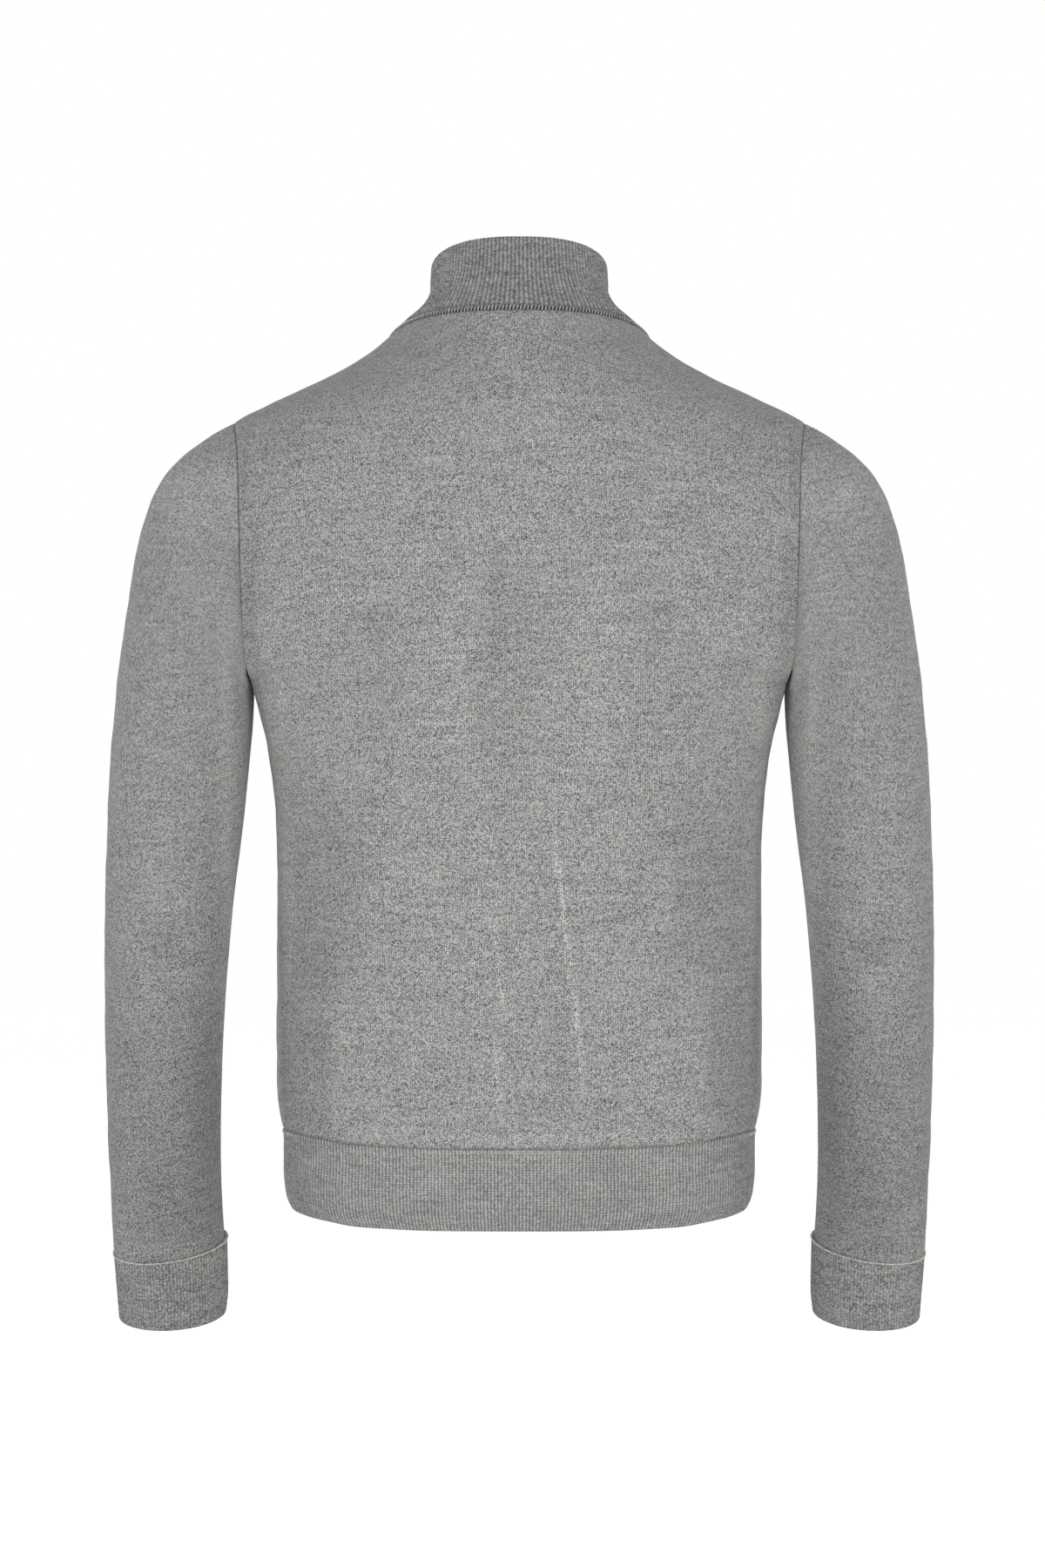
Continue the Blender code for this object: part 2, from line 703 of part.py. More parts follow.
def make_pull(hinge, slope, home):
    """The pull tab: a flat tab with an eye, whose top bar turns under the slider's bridge."""
    curve = bpy.data.curves.new("zip_pull", "CURVE")
    curve.dimensions = "2D"
    curve.fill_mode = "BOTH"
    curve.extrude = PULL_THICKNESS / 2 * MM
    bar = PULL_BAR / 2
    rounded_outline(curve, PULL_WIDTH, bar, bar - PULL_LENGTH, 0.55)
    rounded_outline(curve, PULL_EYE_WIDTH, -bar, -bar - PULL_EYE_LENGTH, 0.5)
    obj = adopt(bpy.data.objects.new("zip_pull", curve), "zip_pull", home, NICKEL)
    pivot = bpy.data.objects.new("pull_hinge", None)
    home.objects.link(pivot)
    pivot.location = [MM * value for value in hinge]
    pivot.rotation_euler = (-slope, 0, 0)
    obj.parent = pivot
    obj.rotation_euler = (math.pi / 2, 0, 0)
    return obj


def make_zip(home, cutters):
    """The zip down the centre front: tapes, chains, stops, box, slider and pull."""
    path = ZipPath()
    middle = TAPE_WALL / 2
    slider_at = path.length - SLIDER_BELOW_TOP
    slider_top = slider_at + SLIDER_LENGTH / 2
    chain_start = BOX_SETBACK + BOX_LENGTH + CHAIN_GAP
    chain_end = slider_top - DIAMOND_LENGTH - CHAIN_GAP
    stop_start = slider_top + CHAIN_GAP
    tape_x = (TAPE_INNER_X, TAPE_MIDDLE_X, TAPE_OUTER_X)
    chain_x = (CHAIN_GAP / 2, CHAIN_HALF_WIDTH)
    stop_x = (STOP_INNER_X, CHAIN_HALF_WIDTH)
    above = middle - CHAIN_WALL / 2
    strips = (
        ("zip_tape", TAPE_END_SETBACK, path.length - TAPE_END_SETBACK, tape_x, 0, TAPE_WALL),
        ("zip_chain", chain_start, chain_end, chain_x, above, CHAIN_WALL),
        ("zip_stop", stop_start, stop_start + STOP_LENGTH, stop_x, above, CHAIN_WALL),
    )
    for name, start, end, columns, depth, thickness in strips:
        finish = ZIP_TAPE if name == "zip_tape" else NICKEL
        grid = path.strip(start, end, columns, depth)
        wall(name + "_left", grid, thickness, home, finish)
        wall(name + "_right", mirrored(grid), thickness, home, finish)
    box_at = BOX_SETBACK + BOX_LENGTH / 2
    box = block("zip_box", (BOX_WIDTH, BOX_THICKNESS, BOX_LENGTH), (0, 0, 0), home, NICKEL, 0.5)
    slots = tape_slots("box", BOX_WIDTH, BOX_LENGTH, cutters)
    for slot in slots:
        cut(box, slot)
    place([box, *slots], path.point(box_at, middle), path.slope(box_at))
    hinge, slope = make_slider(path, home, cutters)
    make_pull(hinge, slope, home)
    print("pull hinge, in metres:", [round(MM * float(value), 5) for value in hinge])


def main():
    for obj in list(bpy.data.objects):
        bpy.data.objects.remove(obj)
    home, cutters = collection("zip_up_cardigan"), collection("cutters")
    wall("back", inset(panel("back")), KNIT_WALL, home, MELANGE_KNIT)
    wall("hem_band", inset(hem_rows()), RIB_WALL, home, MELANGE_RIB)
    wall("collar", inset(collar_rows()), RIB_WALL, home, MELANGE_RIB)
    left_front = inset(front_panel())
    left_sleeve = inset(sleeve_rows(), closed=True)
    left_cuff = inset(cuff_rows(), closed=True)
    for side, turned in (("left", lambda grid: grid), ("right", mirrored)):
        wall(f"front_{side}", turned(left_front), KNIT_WALL, home, MELANGE_KNIT)
        wall(f"sleeve_{side}", turned(left_sleeve), KNIT_WALL, home, MELANGE_KNIT, closed=True)
        wall(f"cuff_{side}", turned(left_cuff), RIB_WALL, home, MELANGE_RIB, closed=True)
    make_zip(home, cutters)


main()
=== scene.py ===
"""The looks of a zip-up cardigan in fine melange knit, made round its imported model.

Every cloth piece is a thin shell on the form that its solid has: level sections make the body, rings
make the sleeves and cuffs, and the collar stands between the neckline and a tilted ring. The ribs,
the turned edges, the seams' grooves and the creases are in the meshes. Linked loops and zip elements
follow the seams.

+Z is up and -Y is the front, so the wearer's left is +X. Sizes are in millimetres and are turned to
metres where a mesh is made. A turn runs round the body from its left side (0) through the back (a
quarter turn) and the right side to the front.
"""

import logging
import math
from collections.abc import Callable, Iterator, Mapping, Sequence
from dataclasses import dataclass, replace
from enum import Enum
from functools import partial
from typing import Any, NamedTuple

import bmesh
import bpy
import numpy as np
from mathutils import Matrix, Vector
from numpy.typing import NDArray


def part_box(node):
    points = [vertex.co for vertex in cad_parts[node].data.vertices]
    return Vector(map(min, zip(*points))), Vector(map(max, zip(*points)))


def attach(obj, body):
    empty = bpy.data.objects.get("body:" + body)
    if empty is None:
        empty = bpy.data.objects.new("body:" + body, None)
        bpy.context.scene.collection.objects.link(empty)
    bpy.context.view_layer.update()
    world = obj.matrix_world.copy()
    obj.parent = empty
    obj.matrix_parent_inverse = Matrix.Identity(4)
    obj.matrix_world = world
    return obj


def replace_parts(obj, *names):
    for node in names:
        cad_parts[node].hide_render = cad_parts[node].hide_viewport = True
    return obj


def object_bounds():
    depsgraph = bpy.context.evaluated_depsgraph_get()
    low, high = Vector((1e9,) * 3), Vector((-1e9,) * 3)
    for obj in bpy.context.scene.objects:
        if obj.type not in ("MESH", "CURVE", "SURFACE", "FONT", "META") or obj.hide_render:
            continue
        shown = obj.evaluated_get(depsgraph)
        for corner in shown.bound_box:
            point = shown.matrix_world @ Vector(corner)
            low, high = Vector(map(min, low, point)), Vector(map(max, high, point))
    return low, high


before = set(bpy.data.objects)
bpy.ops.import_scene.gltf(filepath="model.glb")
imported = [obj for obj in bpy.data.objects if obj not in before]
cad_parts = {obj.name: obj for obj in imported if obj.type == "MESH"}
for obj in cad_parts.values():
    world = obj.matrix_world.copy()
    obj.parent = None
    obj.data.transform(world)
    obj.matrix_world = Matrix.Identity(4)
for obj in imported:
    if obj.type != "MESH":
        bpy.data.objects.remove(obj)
CAD_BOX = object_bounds()

Array = NDArray[np.float64]
Place = tuple[float, float, float]
Line = Callable[[Array], Array]

MM = 0.001
QUARTER_TURN = math.pi / 2  # from the middle of the front or the back to a side
SMALL_TURN, SMALL_RISE = 0.004, 0.5  # steps that find which way the body's face points
EVEN_TURNS, CLOSE_TURNS = 361, 1400  # how many turns a level curve is measured at
HANDS = (("left", 1), ("right", -1))
GARMENT = "garment"
CLOTH_MAP = "knit_mm"  # the UV map of a cloth piece: across and along its knit, in millimetres
PAINTED_SHADE_LAYER = "painted_shade"  # painted shade on a cloth piece, darker where positive and a painted highlight where negative
MATH = "ShaderNodeMath"
NOISE = "ShaderNodeTexNoise"

log = logging.getLogger("cardigan")


# ---------------------------------------------------------------------------------------------
# The garment's form


class Section(NamedTuple):
    """A level section of the body: its height, half its width, how far its back and its front stand
    from the side line, and how square each of them is (2 is an ellipse)."""

    z: float
    half_width: float
    back: float
    front: float
    square_back: float
    square_front: float


BODY_SECTIONS = (
    Section(-664, 163, 88, 105.5, 3.6, 2.9),
    Section(-656, 166.3, 90, 106.2, 3.6, 2.9),
    Section(-648, 170.8, 93, 106.8, 3.5, 2.9),
    Section(-634, 173.8, 95, 107.6, 3.3, 2.9),
    Section(-612, 174.6, 96, 108.5, 3, 2.9),
    Section(-597, 175, 97, 109, 3, 2.9),
    Section(-586, 177.4, 99, 112, 2.9, 2.8),
    Section(-570, 179.7, 101, 114, 2.8, 2.7),
    Section(-540, 180.2, 102, 116, 2.7, 2.6),
    Section(-470, 180.2, 102, 118, 2.6, 2.5),
    Section(-405, 180, 104, 122, 2.6, 2.5),
    Section(-350, 182.2, 108, 126, 2.55, 2.45),
    Section(-314, 187.3, 111, 128, 2.5, 2.45),
    Section(-289, 193.2, 113, 128, 2.45, 2.4),
    Section(-270, 198, 114, 127, 2.4, 2.4),
    Section(-266, 199, 114, 127, 2.4, 2.4),
    Section(-256, 211, 114, 126, 2.4, 2.4),
    Section(-240, 226, 114, 125, 2.35, 2.35),
    Section(-215, 240, 113, 123, 2.3, 2.3),
    Section(-170, 250, 111, 116, 2.2, 2.2),
    Section(-135, 248, 108, 109.2, 2.2, 2.2),
    Section(-105, 240, 104, 101.4, 2.15, 2.15),
    Section(-85, 227, 99, 94, 2.1, 2.1),
    Section(-72, 212, 95, 90.5, 2.1, 2.1),
    Section(-54.6, 178.2, 89, 85, 2.05, 2.05),
    Section(-41.6, 149.6, 84, 81, 2, 2),
    Section(-28.6, 125, 79, 77.5, 2, 2),
    Section(-15.6, 105.8, 73.5, 75, 2, 2),
    Section(0, 89, 68, 73, 2, 2),
    Section(6, 83, 66, 72, 2, 2),
)


class ArmholeSeam(NamedTuple):
    """How far from the centre line the armhole seam lies at a height, on the back and on the front."""

    z: float
    back_x: float
    front_x: float


ARMHOLE_SEAM = (
    ArmholeSeam(-266, 199, 199),
    ArmholeSeam(-256, 200.4, 197.5),
    ArmholeSeam(-240, 201.2, 195.5),
    ArmholeSeam(-215, 202, 193.5),
    ArmholeSeam(-170, 203.2, 193.5),
    ArmholeSeam(-135, 204.4, 196.5),
    ArmholeSeam(-105, 205.9, 203),
    ArmholeSeam(-85, 208.6, 208),
    ArmholeSeam(-72, 212, 212),
)


class Flare(NamedTuple):
    """How much of the way back out to the neckline the collar stands, at a share of its height, at
    the back and sides and at the front."""

    share: float
    back: float
    front: float


COLLAR_FLARE = (
    Flare(0, 1, 1),
    Flare(0.12, 0.79, 0.9),
    Flare(0.28, 0.4, 0.7),
    Flare(0.56, 0.05, 0.3),
    Flare(0.8, 0.02, 0.12),
    Flare(1, 0, 0),
)


class Ring(NamedTuple):
    """A ring of the sleeve: the distance from the shoulder along the outer line, its outer and its
    inner point, how far its middle lies towards the back, half its depth, and its forward tilt in
    degrees."""

    along: float
    outer_x: float
    outer_z: float
    inner_x: float
    inner_z: float
    middle_y: float
    half_depth: float
    tilt: float


SLEEVE_RINGS = (
    Ring(0, 212, -72, 199, -266, -5, 71, 0),
    Ring(20, 229, -81, 199.3, -269, -5, 70, 0),
    Ring(43, 248.2, -94, 199.2, -274, -5, 69, 0),
    Ring(79, 270.4, -120, 198.8, -282, -4, 67, 0),
    Ring(109, 280.9, -148, 199, -291, -4, 65, 0),
    Ring(168, 291.9, -206, 201.2, -318, -3, 61, 0),
    Ring(252, 302.6, -289, 206, -366, -4, 58, 2),
    Ring(369, 309.3, -406, 215.5, -442, -9, 54, 6),
    Ring(499, 311.8, -536, 224, -548, -26, 48, 10),
    Ring(604, 311.2, -642, 227, -642, -50, 43, 11),
    Ring(660, 309.9, -698, 225.8, -687.5, -63, 41, 11.5),
)
CUFF_EDGE = Ring(710, 307.4, -749, 225.6, -746, -75, 38, 12)


class Dip(NamedTuple):
    """How far the hem and its seam dip below their height, at a share of the way round from the
    front (-1) past the side (0) to the middle of the back (1), as a sine squared with its sign."""

    share: float
    depth: float


HEM_DIP = (
    Dip(-0.4, 0),
    Dip(0, -1.4),
    Dip(0.14, -2),
    Dip(0.3, -0.6),
    Dip(0.47, 1),
    Dip(0.7, 3.9),
    Dip(0.86, 4.9),
    Dip(1, 6.2),
)


class Side(Enum):
    """The back or the front of the garment."""

    BACK = "back"
    FRONT = "front"


def smooth(knots: Sequence[float], values: Sequence[float], at: Array | float) -> Array:
    """A smooth curve through the values at the knots.

    Args:
        knots: The rising places where the values are given.
        values: The values there.
        at: The places to read.

    Returns:
        The curve's values at those places.
    """
    x, y = np.asarray(knots, float), np.asarray(values, float)
    at = np.clip(at, x[0], x[-1])
    step = np.diff(x)
    slope = np.diff(y) / step
    inner = (step[:-1] * slope[1:] + step[1:] * slope[:-1]) / (step[:-1] + step[1:])
    tangent = np.concatenate([slope[:1], inner, slope[-1:]])
    i = np.clip(np.searchsorted(x, at) - 1, 0, len(step) - 1)
    s = (at - x[i]) / step[i]
    return (
        y[i] * (1 + 2 * s) * (1 - s) ** 2
        + y[i + 1] * s**2 * (3 - 2 * s)
        + step[i] * tangent[i] * s * (1 - s) ** 2
        + step[i] * tangent[i + 1] * s**2 * (s - 1)
    )


def column(table: Sequence[Any], name: str, at: Array | float) -> Array:
    """A table's named column, read smoothly along its first column."""
    return smooth([row[0] for row in table], [getattr(row, name) for row in table], at)


def ease(share: Array | float) -> Array:
    """A soft step from 0 to 1 as the share goes from 0 to 1."""
    s = np.clip(share, 0, 1)
    return s * s * (3 - 2 * s)


def unit(ways: Array) -> Array:
    """Directions made one unit long."""
    return ways / np.linalg.norm(ways, axis=-1, keepdims=True)


def stations(
    length: float, step: float, first: Sequence[float], last: Sequence[float], fine: Sequence[float] = (0, 0)
) -> Array:
    """Places along a length, closer together at its ends.

    Args:
        length: The whole length.
        step: About how far apart the even places are.
        first: Close places at the start, from 0 up.
        last: Close places at the end, as distances back from it.
        fine: A stretch where they are half as far apart.

    Returns:
        Rising places from 0 to the length.
    """
    start, end = max(first), length - max(last)
    extra = fine[1] - fine[0]
    span = end - start + extra
    knots = np.array([start, max(fine[0], start), max(fine[1], start), end])
    even = np.linspace(0, 1, round(span / step) + 1) * span
    even = np.interp(even, knots - start + (0, 0, extra, extra), knots)
    return np.unique(np.concatenate([first, even, length - np.asarray(last)]))


def lengths(points: Array, axis: int) -> Array:
    """How far each point of a grid lies along its row (axis 1) or up its column (axis 0)."""
    steps = np.linalg.norm(np.diff(points, axis=axis), axis=-1)
    return np.concatenate([np.zeros_like(np.take(steps, [0], axis)), np.cumsum(steps, axis)], axis)


def from_edges(points: Array) -> tuple[Array, Array, Array, Array]:
    """How far each point of a grid is from its bottom, its top, its first and its last column."""
    row, up = lengths(points, 1), lengths(points, 0)
    return up, up[-1:] - up, row, row[:, -1:] - row


def calm(points: Array, ends: float, sides: float) -> Array:
    """A share that falls to 0 at a grid's ends and at its sides, within a distance of each."""
    low, high, first, last = from_edges(points)
    return ease(np.minimum(low, high) / ends) * ease(np.minimum(first, last) / sides)


def close_turns(start: float, end: float) -> Array:
    """Rising turns much closer together at the quarter turns, where a squarish section runs fast.

    Args:
        start: The first turn.
        end: The last turn.

    Returns:
        The turns.
    """
    turns = np.linspace(-3 * QUARTER_TURN, 4 * QUARTER_TURN, CLOSE_TURNS)
    near = turns - np.sin(4 * turns) / 4
    even = np.linspace(start, end, EVEN_TURNS)
    return np.unique(np.concatenate([even, near[(near > start) & (near < end)]]))


def evenly(line: Line, start: float, end: float, shares: Array) -> Array:
    """The parameters of a curve at shares of its length.

    Args:
        line: Gives the curve's points for parameters.
        start: The parameter at its start.
        end: The parameter at its end.
        shares: The shares of its length, from 0 to 1.

    Returns:
        The parameter at each share.
    """
    dense = close_turns(start, end)
    along = lengths(line(dense), 0)
    return np.interp(shares * along[-1], along, dense)


@dataclass(frozen=True)
class BodyForm:
    """The form that the panels, the hem band and the foot of the collar lie on."""

    shoulder_tip_z: float = -72.0
    armpit_z: float = -266.0
    hem_seam_z: float = -597.0
    hem_edge_z: float = -657.0
    neck_side_z: float = -6.9
    neck_slope: float = 22.1
    neck_bend_back: float = 10.2
    neck_drop_front: float = 56.0
    scoop_power: float = 4.0
    opening_half_width: float = 5.5
    measured_top_z: float = 12.0  # the knit is measured up to this height, above the neckline
    measured_levels: int = 339

    def point(self, turn: Array | float, z: Array | float) -> Array:
        """The outer face of the body.

        Args:
            turn: The places' turns.
            z: Their heights.

        Returns:
            The places.
        """
        turn, z = np.broadcast_arrays(np.asarray(turn, float), np.asarray(z, float))
        cos, sin = np.cos(turn), np.sin(turn)
        half_width, back, front, square_back, square_front = (
            column(BODY_SECTIONS, name, z) for name in Section._fields[1:]
        )
        power = 2 / np.where(sin >= 0, square_back, square_front)
        x = half_width * np.sign(cos) * np.abs(cos) ** power
        y = np.where(sin >= 0, back, front) * np.sign(sin) * np.abs(sin) ** power
        return np.stack([x, y, z], axis=-1)

    def normal(self, turn: Array, z: Array) -> Array:
        """The way the body's face points.

        Args:
            turn: The places' turns.
            z: Their heights.

        Returns:
            The directions, one unit long.
        """
        across = self.point(turn + SMALL_TURN, z) - self.point(turn - SMALL_TURN, z)
        up = self.point(turn, z + SMALL_RISE) - self.point(turn, z - SMALL_RISE)
        return unit(np.cross(across, up))

    def neckline_z(self, turn: Array | float) -> Array:
        """The height of the neck seam: a little up at the back, scooped at the front.

        Args:
            turn: The places' turns.

        Returns:
            Their heights.
        """
        sin = np.sin(turn)
        scoop = self.neck_drop_front + self.neck_side_z - self.neck_slope
        bend = np.where(sin >= 0, self.neck_bend_back * sin**2, scoop * sin**self.scoop_power)
        return self.neck_side_z + self.neck_slope * sin - bend

    def hem_dip(self, turn: Array | float) -> Array:
        """How far the hem and its seam dip below their height, at a turn."""
        return column(HEM_DIP, "depth", np.sin(turn) * np.abs(np.sin(turn)))

    def turn_at_x(self, x: Array | float, z: Array | float, side: Side) -> Array:
        """The turn at which the body is x from its centre line.

        Args:
            x: The distance from the centre line.
            z: The height.
            side: The back or the front.

        Returns:
            The turn.
        """
        share = np.clip(x / column(BODY_SECTIONS, "half_width", z), 0, 1)
        turn = np.arccos(share ** (column(BODY_SECTIONS, f"square_{side.value}", z) / 2))
        return turn if side is Side.BACK else -turn

    def armhole_turn(self, z: Array | float, side: Side) -> Array:
        """The turn of the armhole seam, or of the side or shoulder seam beyond it.

        Args:
            z: The height.
            side: The back or the front.

        Returns:
            The turn.
        """
        inside = (np.asarray(z) > self.armpit_z) & (np.asarray(z) < self.shoulder_tip_z)
        seam = self.turn_at_x(column(ARMHOLE_SEAM, f"{side.value}_x", z), z, side)
        return np.where(inside, seam, 0.0)

    def armhole(self, turn: Array) -> Array:
        """The armhole seam's points.

        Args:
            turn: Turns round it, from the shoulder's tip down the back.

        Returns:
            The points.
        """
        middle = (self.shoulder_tip_z + self.armpit_z) / 2
        z = middle + (self.shoulder_tip_z - self.armpit_z) / 2 * np.cos(turn)
        back, front = (self.point(self.armhole_turn(z, s), z) for s in Side)
        return np.where((np.sin(turn) >= 0)[..., None], back, front)

    def knit_place(self, turn: Array, z: Array, centre: float) -> tuple[Array, Array]:
        """Where places of the body lie in their panel's knit, whose wales run up it.

        Args:
            turn: The places' turns, from the centre front to the right side.
            z: Their heights.
            centre: The turn of the panel's centre line.

        Returns:
            How far each place is across from the centre line and up from the hem.
        """
        turns = close_turns(-QUARTER_TURN, math.pi)
        levels = np.linspace(BODY_SECTIONS[0].z, self.measured_top_z, self.measured_levels)
        table = self.point(turns[None, :], levels[:, None])
        across, up = lengths(table, 1), lengths(table, 0)
        across -= across[:, [int(np.argmin(np.abs(turns - centre)))]]
        i = np.clip(np.searchsorted(levels, z) - 1, 0, len(levels) - 2)
        j = np.clip(np.searchsorted(turns, turn) - 1, 0, len(turns) - 2)
        a = (z - levels[i]) / (levels[i + 1] - levels[i])
        b = (turn - turns[j]) / (turns[j + 1] - turns[j])
        low, high = (
            [values[k, j] * (1 - b) + values[k, j + 1] * b for values in (across, up)] for k in (i, i + 1)
        )
        return low[0] * (1 - a) + high[0] * a, low[1] * (1 - a) + high[1] * a


@dataclass(frozen=True)
class CollarForm:
    """The standing collar's outer face, from the neck seam up to a tilted ring."""

    body: BodyForm = BodyForm()
    half_width: float = 65.5
    square: float = 2.45
    back_y: float = 60.0
    front_y: float = -71.0
    back_top_z: float = 58.5
    tilt: float = math.radians(14.5)
    front_dip: float = 18.0

    def point(self, turn: Array, share: float) -> Array:
        """The collar's face.

        Args:
            turn: The places' turns.
            share: The share of the way from its seam to its top.

        Returns:
            The places.
        """
        z = self.body.neckline_z(turn)
        seam = self.body.point(turn, z)
        middle, half = (self.back_y + self.front_y) / 2, (self.back_y - self.front_y) / 2
        cos, sin = np.cos(turn), np.sin(turn)
        frontness = np.clip(-sin, 0, 1)
        top_x = self.half_width * np.sign(cos) * np.abs(cos) ** (2 / self.square)
        top_y = middle + half * np.sign(sin) * np.abs(sin) ** (2 / self.square)
        dip = self.front_dip * frontness**self.body.scoop_power
        top_z = self.back_top_z - (self.back_y - top_y) * math.tan(self.tilt) - dip
        at_back, at_front = (column(COLLAR_FLARE, side.value, share) for side in Side)
        flare = at_back + (at_front - at_back) * frontness
        x = top_x + (seam[..., 0] - top_x) * flare
        y = top_y + (seam[..., 1] - top_y) * flare
        return np.stack([x, y, z + (top_z - z) * share], axis=-1)

    def opening(self, share: float) -> float:
        """The turn of the front opening's edge at a share of the collar's height."""
        turns = np.radians(np.linspace(-90, -70, 400))  # the edge lies within these
        return float(np.interp(self.body.opening_half_width, self.point(turns, share)[:, 0], turns))


@dataclass(frozen=True)
class SleeveForm:
    """The left sleeve's outer face, from the seam of its cuff up to its armhole."""

    body: BodyForm = BodyForm()
    armhole_fade: float = 110.0
    seam_gap: float = 0.3
    cuff_step: float = 2.0

    @staticmethod
    def ring_point(ring: Ring, turn: Array) -> Array:
        """A ring's points.

        Args:
            ring: The ring.
            turn: Turns from its outer point through the back to its inner point.

        Returns:
            The points.
        """
        outer = np.array([ring.outer_x, 0, ring.outer_z])
        inner = np.array([ring.inner_x, 0, ring.inner_z])
        tilt = math.radians(ring.tilt)
        deep = ring.half_depth * np.array([0, math.cos(tilt), -math.sin(tilt)])
        middle = (outer + inner) / 2 + (0, ring.middle_y, 0)
        return middle + np.cos(turn)[..., None] * (outer - inner) / 2 + np.sin(turn)[..., None] * deep

    def point(self, turn: Array, along: float) -> Array:
        """The sleeve's face.

        Args:
            turn: The places' turns round it.
            along: Their distance from the shoulder.

        Returns:
            The places.
        """
        at = [float(column(SLEEVE_RINGS, name, along)) for name in Ring._fields[1:]]
        off_ring = self.body.armhole(turn) + (self.seam_gap, 0, 0)
        off_ring = off_ring - self.ring_point(SLEEVE_RINGS[0], turn)
        fade = max(0.0, 1 - along / self.armhole_fade) ** 2
        return self.ring_point(Ring(along, *at), turn) + off_ring * fade

    def cuff_point(self, turn: Array, share: float) -> Array:
        """The cuff's face.

        Args:
            turn: The places' turns round it.
            share: The share of the way from its edge to its seam.

        Returns:
            The places.
        """
        top, bottom = np.array(SLEEVE_RINGS[-1]), np.array(CUFF_EDGE)
        ring = Ring(*(bottom + (top - bottom) * share))
        proud = self.cuff_step * min(1, 4 * share)
        ring = ring._replace(inner_x=ring.inner_x - proud, half_depth=ring.half_depth + proud / 2)
        return self.ring_point(ring, turn)


# ---------------------------------------------------------------------------------------------
# Finishes


def linear(code: str) -> tuple[float, float, float, float]:
    """An sRGB hex colour in linear light."""
    parts = [int(code[i : i + 2], 16) / 255 for i in (1, 3, 5)]
    return (*(c / 12.92 if c <= 0.04045 else ((c + 0.055) / 1.055) ** 2.4 for c in parts), 1.0)


def feed(tree: bpy.types.NodeTree, node: bpy.types.Node, feeds: Mapping[int | str, Any]) -> None:
    """Sets a node's inputs.

    Args:
        tree: The tree that holds it.
        node: The node.
        feeds: What each input gets: a value, a socket, or a node whose first output feeds it.
    """
    for name, value in feeds.items():
        if isinstance(value, bpy.types.Node):
            value = value.outputs[0]
        if isinstance(value, bpy.types.NodeSocket):
            tree.links.new(value, node.inputs[name])
        else:
            node.inputs[name].default_value = value


def add_node(
    tree: bpy.types.NodeTree, kind: str, feeds: Mapping[int | str, Any] | None = None, **settings: Any
) -> bpy.types.Node:
    """Adds a node.

    Args:
        tree: The tree that gets it.
        kind: Its Blender type.
        feeds: What its inputs get, as feed takes it.
        settings: Its own settings.

    Returns:
        The node.
    """
    node = tree.nodes.new(kind)
    for name, value in settings.items():
        setattr(node, name, value)
    feed(tree, node, feeds or {})
    return node


@dataclass(frozen=True)
class Finish:
    """A finish, made once as a material with its name."""

    name: str

    def material(self) -> bpy.types.Material:
        """Makes the material where there is none yet.

        Returns:
            The material.
        """
        made = bpy.data.materials.get(self.name)
        if made is None:
            made = bpy.data.materials.new(self.name)
            made.use_nodes = True
            tree = made.node_tree
            feed(tree, tree.nodes["Principled BSDF"], self.inputs(partial(add_node, tree)))
        return made

    def inputs(self, node: Callable[..., bpy.types.Node]) -> dict[str, Any]:
        """Draws the pattern with node, which adds a node, and gives what the shader's inputs get."""
        raise NotImplementedError


